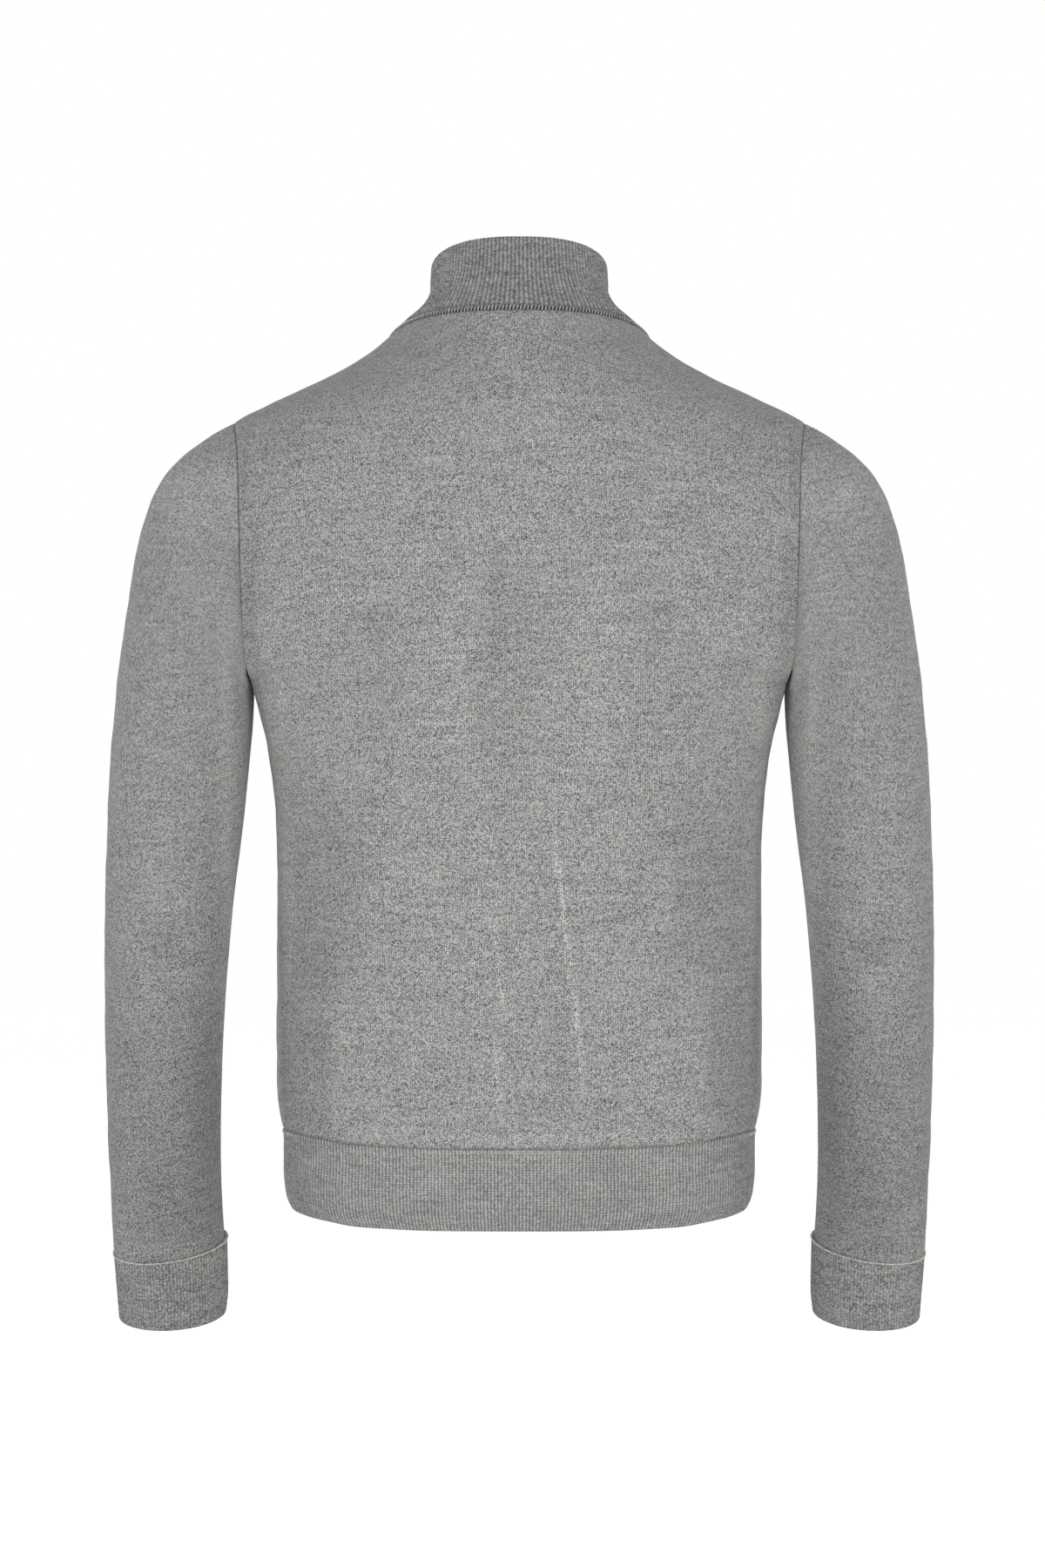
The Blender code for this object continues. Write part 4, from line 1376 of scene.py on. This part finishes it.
@dataclass(frozen=True)
class Sleeves:
    """The two set-in sleeves, each a tube with its seam under the arm.

    Creases lie across from the outer line, towards the back, and up from the cuff."""

    form: SleeveForm = SleeveForm()
    wall: float = 1.5
    step: float = 3.5
    length: float = 660.0
    round_nominal: float = 380.0
    calm_end: float = 12.0
    calm_seam: float = 14.0
    creases: tuple[Crease, ...] = (
        Crease((60, 420), (110, 372), 9, -1, 5),
        Crease((40, 330), (95, 300), 8, -0.7, 4),
        Crease((-40, 300), (-92, 322), 9, -1.3, 5),
        Crease((-35, 268), (-96, 278), 9, -1.2, 5),
        Crease((-40, 236), (-88, 226), 8, -0.9, -4),
        Crease((70, 262), (112, 236), 9, -0.8, 4),
        Crease((50, 150), (96, 118), 9, -0.8, 4),
        Crease((-44, 140), (-94, 108), 9, -0.8, -4),
        Crease((48, 70), (100, 48), 8, 0.7, -3),
        Crease((20, 60), (70, 26), 7, -0.8, 3),
        Crease((-30, 66), (-80, 34), 8, -0.9, -3),
        Crease((-64, 440), (-120, 384), 10, -1.1, -5),
        # the armpit's bulge with a painted highlight, its hollow and the thin inner edge in painted shade
        Crease((216, 450), (234, 428), 5, 1.8, 0, 0.12),
        Crease((136, 556), (236, 456), 12, -1, 0, -0.2),
        Crease((238, 432), (190, 360), 10, 0, 0, -0.4),
        Crease((194, 376), (168, 190), 7, 0, 0, -0.25),
        # painted shade on the lower inner arm; painted highlights up the arm and just above the cuff
        Crease((114, 214), (104, -90), 26, -1.6, 0, -0.15),
        Crease((66, 250), (60, -110), 38, -0.6, 0, -0.16),
        Crease((62, 264), (100, 238), 12, -0.7, 0, -0.16),
        Crease((70, 96), (62, -24), 18, 0, 0, -0.08),
        Crease((34, 60), (40, -20), 10, 0, 0, 0.08),
        Crease((152, 304), (156, 236), 12, 0, 0, 0.3),
        Crease((170, 470), (146, 120), 18, 0, 4, 0.55),
        Crease((212, 452), (178, 300), 18, 0, 0, 0.5),
        Crease((98, 590), (96, 230), 36, 0, 0, -0.06),
        Crease((-20, 616), (110, 590), 28, 0, 8, 0.2),
        Crease((8, 600), (6, 280), 30, 0, 0, 0.14),
        Crease((10, 5), (120, 5), 6, 0, 0, 0.1),
    )

    def sleeve(self, name: str) -> Cloth:
        """The left sleeve as a cloth piece.

        Args:
            name: Its name.

        Returns:
            The piece.
        """
        count = round(self.round_nominal / self.step) + 1
        shares = np.linspace(0, 1, count)
        rows = []
        for at in stations(self.length, self.step, NEAR_EDGE, NEAR_EDGE)[::-1]:
            turn = evenly(lambda t, at=at: self.form.point(t, at), -math.pi, math.pi, shares)
            rows.append(self.form.point(turn, at))
        points = np.array(rows)
        row, along = lengths(points, 1), lengths(points, 0)
        across = row - row[:, [count // 2]]
        lift, painted_shade = creased(self.creases, across, along)
        lift = (lift + slack(across, along, 2.0)) * calm(points, self.calm_end, self.calm_seam)
        edges = (Edge.SEAM, Edge.SEAM, Edge.JOIN, Edge.JOIN)
        return Cloth(
            name, points, across, along, self.wall, edges, JERSEY, lift, lift, painted_shade,
            seam_shade=(0.0, 0.15, 0.0, 0.0), groove_depth=0.4, shift=2000.0,
        )

    def build(self) -> None:
        """Makes the two sleeves."""
        hang_both(self.sleeve("sleeve_left_knit"), "sleeve_left")


@dataclass(frozen=True)
class RibBand:
    """A band of rib knit, whose raised wales run up it.

    point gives its face at turns and a share of its height, and span gives the turns of its ends at
    a share. It is a tube where closed. ends are its bottom and its top."""

    name: str
    point: Callable[[Array, float], Array]
    span: Callable[[float], tuple[float, float]]
    height: float
    ribs: int
    columns_per_rib: int
    finish: WoolKnit
    ends: tuple[Edge, Edge] = (Edge.FOLD, Edge.SEAM)
    closed: bool = False
    wall: float = 2.5
    rib_relief: float = 0.38
    inner_relief: float = 0.7  # the inner face's relief as a share of the outer's
    step: float = 3.0
    creases: tuple[Crease, ...] = ()
    seam_shade: float = 0.2
    seam_reach: float = 2.2

    def cloth(self) -> Cloth:
        """The band as a cloth piece.

        Returns:
            The piece.
        """
        number = np.arange(self.ribs * self.columns_per_rib + 1) / self.columns_per_rib
        shares = np.linspace(0, 1, len(number))
        rows = []
        for share in stations(self.height, self.step, NEAR_EDGE, NEAR_EDGE) / self.height:
            turn = evenly(lambda t, s=share: self.point(t, s), *self.span(share), shares)
            rows.append(self.point(turn, share))
        points = np.array(rows)
        along = lengths(points, 0)
        ridge = np.cos(2 * np.pi * (number - 0.5)) * self.rib_relief
        across = np.broadcast_to((number - number[-1] / 2) * self.finish.wale, along.shape)
        lift, painted_shade = creased(self.creases, across, along)
        edges = (*self.ends, *((Edge.JOIN if self.closed else Edge.FOLD,) * 2))
        return Cloth(
            self.name, points, across, along, self.wall, edges, self.finish,
            lift + ridge, -ridge * self.inner_relief, painted_shade, seam_shade=(self.seam_shade,) * 4,
            seam_reach=self.seam_reach, groove_depth=0.5, groove_width=1.6,
        )


@dataclass(frozen=True)
class RibBands:
    """The hem band, the collar and the two cuffs."""

    body: BodyForm = BodyForm()
    collar: CollarForm = CollarForm()
    sleeve: SleeveForm = SleeveForm()
    collar_height: float = 62.0
    cuff_height: float = 50.0
    corner_rise: float = 4.5  # how far the hem's lower edge rises at the sides
    corner_reach: float = 0.55
    hem_creases: tuple[Crease, ...] = (
        # a painted highlight along the band's top, and painted shade at its sides
        Crease((150, 59), (-150, 59), 2.6, 0, 0, 0.14),
        Crease((186, -90), (186, 150), 46, 0, 0, -0.28, both=True),
    )

    def hem_z(self, share: float) -> float:
        """The height of the hem band at a share of the way from its edge to its seam."""
        return self.body.hem_edge_z + (self.body.hem_seam_z - self.body.hem_edge_z) * share

    def hem_point(self, turn: Array, share: float) -> Array:
        """The hem band's face, whose lower edge rises a little round the sides.

        Args:
            turn: The places' turns.
            share: The share of the way from its edge to its seam.

        Returns:
            The places.
        """
        near_side = np.clip(1 - np.abs(np.sin(turn)) / self.corner_reach, 0, 1)
        corner = self.corner_rise * near_side**2 * (1 - share)
        return self.body.point(turn, self.hem_z(share) - self.body.hem_dip(turn) + corner)

    def hem_span(self, share: float) -> tuple[float, float]:
        """The turns of the hem band's ends at the zip, at a share of its height."""
        start = float(self.body.turn_at_x(self.body.opening_half_width, self.hem_z(share), Side.FRONT))
        return start, math.pi - start

    def collar_span(self, share: float) -> tuple[float, float]:
        """The turns of the collar's ends at the zip, at a share of its height."""
        start = self.collar.opening(share)
        return start, math.pi - start

    def build(self) -> None:
        """Makes the four bands."""
        hem = RibBand(
            "hem_rib", self.hem_point, self.hem_span, self.hem_z(1) - self.hem_z(0), ribs=368,
            columns_per_rib=4, finish=RIB, creases=self.hem_creases,
        )
        neck = RibBand(
            "collar_rib", self.collar.point, self.collar_span, self.collar_height, ribs=152,
            columns_per_rib=6, finish=COLLAR_RIB, ends=(Edge.SEAM, Edge.FOLD), seam_shade=0.9,
            seam_reach=5.0,
        )
        cuff = RibBand(
            "cuff_left_rib", self.sleeve.cuff_point, lambda share: (-math.pi, math.pi), self.cuff_height,
            ribs=104, columns_per_rib=6, finish=CUFF_RIB, closed=True, rib_relief=0.2, seam_shade=0.0,
        )
        hang(hem.cloth(), "hem_band")
        hang(neck.cloth(), "collar")
        hang_both(cuff.cloth(), "cuff_left")


# ---------------------------------------------------------------------------------------------
# Rows of small shapes along a line


def solid(name: str, made: bmesh.types.BMesh) -> bpy.types.Mesh:
    """Turns a closed shape into a mesh, shaded smooth.

    Args:
        name: The mesh's name.
        made: The shape, which is used up.

    Returns:
        The mesh.
    """
    bmesh.ops.recalc_face_normals(made, faces=made.faces)
    mesh = bpy.data.meshes.new(name)
    made.to_mesh(mesh)
    made.free()
    mesh.shade_smooth()
    return mesh


def bead(name: str, points: Sequence[Place], radii: Sequence[float], sides: int = 6) -> bpy.types.Mesh:
    """A short round cord through points, closed at its ends.

    Args:
        name: The mesh's name.
        points: Its middle line, in millimetres.
        radii: Its radius at each point.
        sides: How many sides it has.

    Returns:
        The mesh, in metres.
    """
    made = bmesh.new()
    rings = []
    for place, way, radius in zip(points, np.gradient(np.array(points, float), axis=0), radii):
        along = Vector(way).normalized()
        aside = along.cross(Vector((0, 0, 1)) if abs(along.z) < 0.9 else Vector((0, 1, 0))).normalized()
        other = along.cross(aside)
        ring = []
        for angle in (2 * math.pi * k / sides for k in range(sides)):
            off = (math.cos(angle) * aside + math.sin(angle) * other) * radius
            ring.append(made.verts.new((Vector(place) + off) * MM))
        rings.append(ring)
    for low, high in zip(rings, rings[1:]):
        for k in range(sides):
            made.faces.new((low[k], low[(k + 1) % sides], high[(k + 1) % sides], high[k]))
    made.faces.new(rings[0][::-1])
    made.faces.new(rings[-1])
    return solid(name, made)


@dataclass(frozen=True)
class Row:
    """A row of equal small shapes along a line on the cloth.

    A shape's X runs along the line, its Z points out of the cloth, and its Y across the line."""

    name: str
    shape: bpy.types.Mesh
    line: Array
    out: Array
    pitch: float
    finish: Finish
    seed: int
    jitter: float = 0.08
    slot: str = "melange_rib"

    @staticmethod
    def tree() -> bpy.types.NodeTree:
        """The node group that sets the shapes along a line, made once for all rows.

        Returns:
            The node group.
        """
        made = bpy.data.node_groups.get("shapes_along_a_line")
        if made:
            return made
        made = bpy.data.node_groups.new("shapes_along_a_line", "GeometryNodeTree")
        sockets = {
            "Line": "Geometry", "Shape": "Object", "Pitch": "Float", "Jitter": "Float", "Seed": "Int",
            "Finish": "Material",
        }
        for name, kind in sockets.items():
            made.interface.new_socket(name, in_out="INPUT", socket_type=f"NodeSocket{kind}")
        made.interface.new_socket("Shapes", in_out="OUTPUT", socket_type="NodeSocketGeometry")
        node = partial(add_node, made)
        given = node("NodeGroupInput").outputs
        curve = node("GeometryNodeMeshToCurve", {0: given["Line"]})
        spaced = {"Curve": curve, "Length": given["Pitch"]}
        places = node("GeometryNodeResampleCurve", spaced, mode="LENGTH")
        out = node("GeometryNodeInputNamedAttribute", {0: "out"}, data_type="FLOAT_VECTOR")
        ways = {0: out, 1: node("GeometryNodeInputTangent")}
        turned = node("FunctionNodeAxesToRotation", ways, primary_axis="Z", secondary_axis="X")
        info = node("GeometryNodeObjectInfo", {0: given["Shape"]})
        low = node(MATH, {0: 1.0, 1: given["Jitter"]}, operation="SUBTRACT")
        high = node(MATH, {0: 1.0, 1: given["Jitter"]}, operation="ADD")
        sizes = {2: low, 3: high, "Seed": given["Seed"]}
        size = node("FunctionNodeRandomValue", sizes, data_type="FLOAT").outputs[1]
        shape = {"Instance": info.outputs["Geometry"], "Rotation": turned, "Scale": size}
        copies = node("GeometryNodeInstanceOnPoints", {"Points": places, **shape})
        real = node("GeometryNodeRealizeInstances", {0: copies})
        dressed = node("GeometryNodeSetMaterial", {0: real, "Material": given["Finish"]})
        node("NodeGroupOutput", {0: dressed})
        return made

    def build(self) -> bpy.types.Object:
        """Makes the row as one plain mesh that rides on the garment.

        Returns:
            The row.
        """
        template = bpy.data.objects.new(f"{self.name}_shape", self.shape)
        mesh = bpy.data.meshes.new(self.name)
        mesh.from_pydata((self.line * MM).tolist(), [(i, i + 1) for i in range(len(self.line) - 1)], [])
        ways = mesh.attributes.new("out", "FLOAT_VECTOR", "POINT")
        ways.data.foreach_set("vector", self.out.astype(np.float32).ravel())
        guide = bpy.data.objects.new(f"{self.name}_line", mesh)
        for obj in (template, guide):
            bpy.context.scene.collection.objects.link(obj)
        modifier = guide.modifiers.new("row", "NODES")
        modifier.node_group = self.tree()
        values = {
            "Shape": template, "Pitch": self.pitch * MM, "Jitter": self.jitter, "Seed": self.seed,
            "Finish": self.finish.material(),
        }
        for item in modifier.node_group.interface.items_tree:
            if item.in_out == "INPUT" and item.name in values:
                modifier[item.identifier] = values[item.name]
        bpy.context.view_layer.update()
        evaluated = guide.evaluated_get(bpy.context.evaluated_depsgraph_get())
        made = bpy.data.meshes.new_from_object(evaluated)
        if "out" in made.attributes:
            made.attributes.remove(made.attributes["out"])
        for obj in (guide, template):
            bpy.data.objects.remove(obj)
        obj = finished(self.name, made, self.finish)
        made.shade_smooth()
        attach(obj, GARMENT)
        report(obj)
        return obj


@dataclass(frozen=True)
class SeamWork:
    """The linked loops that hold the knitted pieces together, and the marks beside the armholes."""

    body: BodyForm = BodyForm()
    sleeve: SleeveForm = SleeveForm()
    neck_pitch: float = 2.6
    neck_start: float = 0.037  # the turn from the centre front to the first loop
    hem_pitch: float = 2.5
    hem_start: float = 0.009
    hem_loop_drop: float = 1.7
    cuff_pitch: float = 1.9
    mark_pitch: float = 5.2
    mark_lines: tuple[float, float] = (7.5, 10.5)  # how far the marks lie from the armhole seam
    mark_turns: tuple[float, float] = (0.18, 1.25)
    proud: float = 0.1
    body_points: int = 1200
    cuff_points: int = 300
    mark_points: int = 60

    def round_body(
        self, name: str, loop: bpy.types.Mesh, start: float, height: Line, pitch: float, seed: int
    ) -> None:
        """Sets loops round the body, from one side of the zip to the other.

        Args:
            name: The row's name.
            loop: The loop.
            start: The turn from the centre front to the first loop.
            height: The loops' height at a turn.
            pitch: How far apart they are.
            seed: The seed of their sizes.
        """
        turn = np.linspace(start - QUARTER_TURN, 3 * QUARTER_TURN - start, self.body_points)
        z = height(turn)
        out = self.body.normal(turn, z)
        Row(name, loop, self.body.point(turn, z) + out * self.proud, out, pitch, YARN, seed).build()

    def neck_loops(self) -> None:
        """The chunky loops that bind the collar to the neckline."""
        arch = ((-0.5, -0.9, -0.4), (-0.35, -0.3, 0.4), (0, 0.9, 0.8), (0.35, 2.1, 0.5), (0.5, 3.0, -0.4))
        loop = bead("neck_loop", arch, (0.3, 0.44, 0.5, 0.44, 0.3))
        self.round_body("neck_linking", loop, self.neck_start, self.body.neckline_z, self.neck_pitch, 1)

    def hem_loops(self) -> None:
        """The row of upright loops that links the hem band to the body, one on each rib."""
        loop = bead("hem_loop", ((0, 1.0, 0.0), (0.05, 0.1, 0.55), (0, -1.5, 0.0)), (0.3, 0.46, 0.3))
        self.round_body(
            "hem_linking", loop, self.hem_start,
            lambda turn: self.body.hem_seam_z - self.body.hem_dip(turn) - self.hem_loop_drop,
            self.hem_pitch, 2,
        )

    def cuff_loops(self) -> None:
        """The fine bright line of loops round the top of each cuff."""
        loop = bead("cuff_loop", ((-0.9, -0.3, 0.1), (0, 0, 0.5), (0.9, 0.3, 0.1)), (0.4, 0.62, 0.4))
        line = self.sleeve.cuff_point(np.linspace(-math.pi, math.pi, self.cuff_points), 1.0)
        out = unit(line - line.mean(axis=0))
        for side, hand in HANDS:
            flip = (hand, 1, 1)
            name = f"cuff_{side}_linking"
            Row(name, loop.copy(), line * flip, out * flip, self.cuff_pitch, BRIGHT_YARN, 3).build()

    def fashioning_marks(self) -> None:
        """The two columns of slanted marks where wales are brought together beside each armhole."""
        slant = ((-0.9, -0.45, -0.1), (0, 0, 0.3), (0.9, 0.45, -0.1))
        mark = bead("fashioning_mark", slant, (0.22, 0.4, 0.22))
        turn = np.linspace(*self.mark_turns, self.mark_points)
        for side, hand in HANDS:
            flip = (hand, 1, 1)
            for k, away in enumerate(self.mark_lines):
                line = self.sleeve.point(turn, away)
                up = self.sleeve.point(turn, away + 1) - line
                out = -unit(np.cross(np.gradient(line, axis=0), up))
                line = (line + out * self.proud) * flip
                name = f"fashioning_{side}_{k + 1}"
                Row(
                    name, mark.copy(), line, out * flip, self.mark_pitch, YARN, 4 + k, slot="melange_knit"
                ).build()

    def build(self) -> None:
        """Makes all the seam work."""
        self.neck_loops()
        self.hem_loops()
        self.cuff_loops()
        self.fashioning_marks()


# ---------------------------------------------------------------------------------------------
# Zip


@dataclass(frozen=True)
class Zip:
    """The zip down the centre front: tapes, elements, and the metal pieces at its ends."""

    body: BodyForm = BodyForm()
    collar: CollarForm = CollarForm()
    tape_wall: float = 1.0
    tape_columns: tuple[float, ...] = (3.0, 3.6, 5.5, 8.0, 11.0, 13.4, 14.0)
    tape_setback: float = 2.0
    behind_knit: float = 2.0
    behind_rib: float = 3.0
    pitch: float = 2.3
    chain_x: float = 0.05  # how far from the centre line the elements' line is read
    chain_end_gap: float = 0.8
    chain_points: int = 400
    tooth_bevel: float = 0.16
    body_levels: int = 330
    collar_levels: int = 40
    metal_nodes: tuple[str, ...] = ("zip_slider", "zip_pull", "zip_box", "zip_stop_left", "zip_stop_right")

    def face(self, x: float) -> Array:
        """The garment's front face, from the hem's edge to the collar's top.

        Args:
            x: The distance from the centre line.

        Returns:
            A line of points.
        """
        body = self.body
        levels = np.linspace(body.hem_edge_z, -body.neck_drop_front, self.body_levels)
        lower = body.point(body.turn_at_x(x, levels, Side.FRONT), levels)
        upper = []
        turns = np.radians(np.linspace(-90, -60, 300))  # the tape lies within these on the collar
        for share in np.linspace(0.02, 1, self.collar_levels):
            ring = self.collar.point(turns, share)
            upper.append([np.interp(x, ring[:, 0], ring[:, k]) for k in range(3)])
        return np.concatenate([lower, np.array(upper)])

    def sunk(self, x: float, depth: float) -> tuple[Array, Array]:
        """A line behind the tape's face.

        Args:
            x: The distance from the centre line.
            depth: How far behind the face it lies.

        Returns:
            The line's points, and the way the face points there.
        """
        line = self.face(x)
        way = np.gradient(line, axis=0)
        out = unit(np.stack([np.zeros(len(line)), -way[:, 2], way[:, 1]], axis=-1))
        seam, neck, z = self.body.hem_seam_z, -self.body.neck_drop_front, line[:, 2]
        ribbed = np.maximum(ease((seam + 2 - z) / 12), ease((z - neck + 8) / 12))
        behind = self.behind_knit + (self.behind_rib - self.behind_knit) * ribbed
        return line - out * (behind + depth)[:, None], out

    def tape(self, name: str) -> Cloth:
        """The left tape as a cloth piece.

        Args:
            name: Its name.

        Returns:
            The piece.
        """
        points = np.stack([self.sunk(x, 0)[0] for x in self.tape_columns], axis=1)
        up = lengths(points, 0)[:, 0]
        points = points[(up > self.tape_setback) & (up < up[-1] - self.tape_setback)][::2]
        along = lengths(points, 0)
        across = np.broadcast_to(np.array(self.tape_columns), along.shape)
        return Cloth(
            name, points, across, along, self.tape_wall, (Edge.SEAM,) * 4, TAPE,
            groove_depth=0.25, groove_width=0.6,
        )

    def tooth(self, hand: int) -> bpy.types.Mesh:
        """One zip element: legs clamped on the tape's edge, and a head that meets its neighbours.

        Args:
            hand: 1 on the left and -1 on the right.

        Returns:
            The mesh.
        """
        made = bmesh.new()
        for low, high, thick, tall in ((-3.5, -0.9, 1.15, 0.62), (-1.2, 0.75, 0.85, 0.5)):
            for vert in bmesh.ops.create_cube(made, size=1)["verts"]:
                x, y, z = vert.co
                across = (low + high) / 2 + y * (high - low)
                vert.co = Vector((x * tall * 2, hand * across, z * thick * 2)) * MM
        offset = self.tooth_bevel * MM
        bmesh.ops.bevel(made, geom=list(made.edges), offset=offset, segments=1, affect="EDGES")
        return solid("zip_element", made)

    def teeth(self) -> None:
        """The two rows of elements, one half a pitch above the other."""
        line, out = self.sunk(self.chain_x, self.tape_wall / 2)
        low, high = (corner.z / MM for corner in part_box("zip_chain_left"))
        inside = (line[:, 2] > low + self.chain_end_gap) & (line[:, 2] < high - self.chain_end_gap)
        line, out = line[inside] * (0, 1, 1), out[inside]
        up = lengths(line, 0)
        for (side, hand), start in zip(HANDS, (0.0, self.pitch / 2)):
            places = np.linspace(start, up[-1] - self.pitch / 2 + start, self.chain_points)
            at, ways = (
                np.stack([np.interp(places, up, values[:, k]) for k in range(3)], axis=-1)
                for values in (line, out)
            )
            name, tooth = f"zip_teeth_{side}", self.tooth(hand)
            row = Row(name, tooth, at, ways, self.pitch, NICKEL, 7, jitter=0.0, slot="nickel_metal")
            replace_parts(row.build(), f"zip_chain_{side}")

    def build(self) -> None:
        """Makes the tapes and elements, and dresses the metal pieces."""
        hang_both(self.tape("zip_tape_left_woven"), "zip_tape_left")
        self.teeth()
        for name in self.metal_nodes:
            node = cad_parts[name]
            node.data.materials.clear()
            node.data.materials.append(NICKEL.material())
            report(node)


# ---------------------------------------------------------------------------------------------
# Studio


@dataclass(frozen=True)
class Softbox:
    """A soft area light, in metres and watts."""

    name: str
    place: Place
    aim: Place
    width: float
    height: float
    power: float

    def build(self) -> None:
        """Puts the light in the scene."""
        data = bpy.data.lights.new(self.name, "AREA")
        data.shape = "RECTANGLE"
        data.size, data.size_y = self.width, self.height
        data.energy = self.power
        light = bpy.data.objects.new(self.name, data)
        light.visible_camera = False
        bpy.context.scene.collection.objects.link(light)
        light.location = self.place
        light.rotation_euler = (Vector(self.aim) - Vector(self.place)).to_track_quat("-Z", "Y").to_euler()


@dataclass(frozen=True)
class Studio:
    """A pale floor, soft lights, a white surround, and the camera square to the back."""

    camera_place: Place = (-0.0024, 2.5, -0.3406)
    frame_height: float = 1.17  # what the frame's long side spans at the garment, in metres
    sensor: float = 36.0
    floor_drop: float = 0.3
    floor_size: float = 40.0
    surround: float = 0.24
    lights: tuple[Softbox, ...] = (
        Softbox("key", (0.0, 1.8, -0.3), (0, 0, -0.33), 2.2, 0.8, 23),
        Softbox("backdrop", (0.0, -2.2, -0.1), (0, 0, -0.3), 5.0, 3.0, 46),
        Softbox("side_left", (2.6, 0.9, 0.1), (0, 0, -0.3), 0.8, 2.0, 14),
        Softbox("side_right", (-2.6, 0.9, 0.1), (0, 0, -0.3), 0.8, 2.0, 14),
        Softbox("top", (0, 0.0, 2.4), (0, 0, -0.3), 2.4, 1.2, 6),
    )

    def floor(self) -> None:
        """The floor, well below the hanging garment."""
        half, z = self.floor_size / 2, CAD_BOX[0].z - self.floor_drop
        mesh = bpy.data.meshes.new("floor")
        corners = [(-half, -half, z), (half, -half, z), (half, half, z), (-half, half, z)]
        mesh.from_pydata(corners, [], [(0, 1, 2, 3)])
        finished("floor", mesh, FLOOR_PAINT)

    def world(self) -> None:
        """A surround that is white to the camera and gives the garment a dimmer light."""
        world = bpy.data.worlds.new("surround")
        world.use_nodes = True
        bpy.context.scene.world = world
        tree = world.node_tree
        tree.nodes.clear()
        seen = add_node(tree, "ShaderNodeLightPath").outputs["Is Camera Ray"]
        ambient = add_node(tree, "ShaderNodeBackground", {0: linear("#ffffff"), 1: self.surround})
        white = add_node(tree, "ShaderNodeBackground", {0: linear("#ffffff"), 1: 1.0})
        mixed = add_node(tree, "ShaderNodeMixShader", {0: seen, 1: ambient, 2: white})
        add_node(tree, "ShaderNodeOutputWorld", {0: mixed})

    def camera(self) -> None:
        """The camera behind the garment, level with its middle."""
        data = bpy.data.cameras.new("camera")
        data.sensor_width = self.sensor
        data.lens = self.sensor * self.camera_place[1] / self.frame_height
        camera = bpy.data.objects.new("camera", data)
        bpy.context.scene.collection.objects.link(camera)
        camera.location = self.camera_place
        camera.rotation_euler = (math.pi / 2, 0, math.pi)
        bpy.context.scene.camera = camera

    def build(self) -> None:
        """Makes the studio."""
        self.floor()
        self.world()
        self.camera()
        for light in self.lights:
            light.build()
        bpy.context.scene.view_settings.view_transform = "Standard"


def main() -> None:
    """Builds the cardigan's pieces and the studio."""
    logging.basicConfig(level=logging.INFO, format="%(message)s")
    for part in (Panels(), Sleeves(), RibBands(), SeamWork(), Zip(), Studio()):
        part.build()


if __name__ == "__main__":
    main()
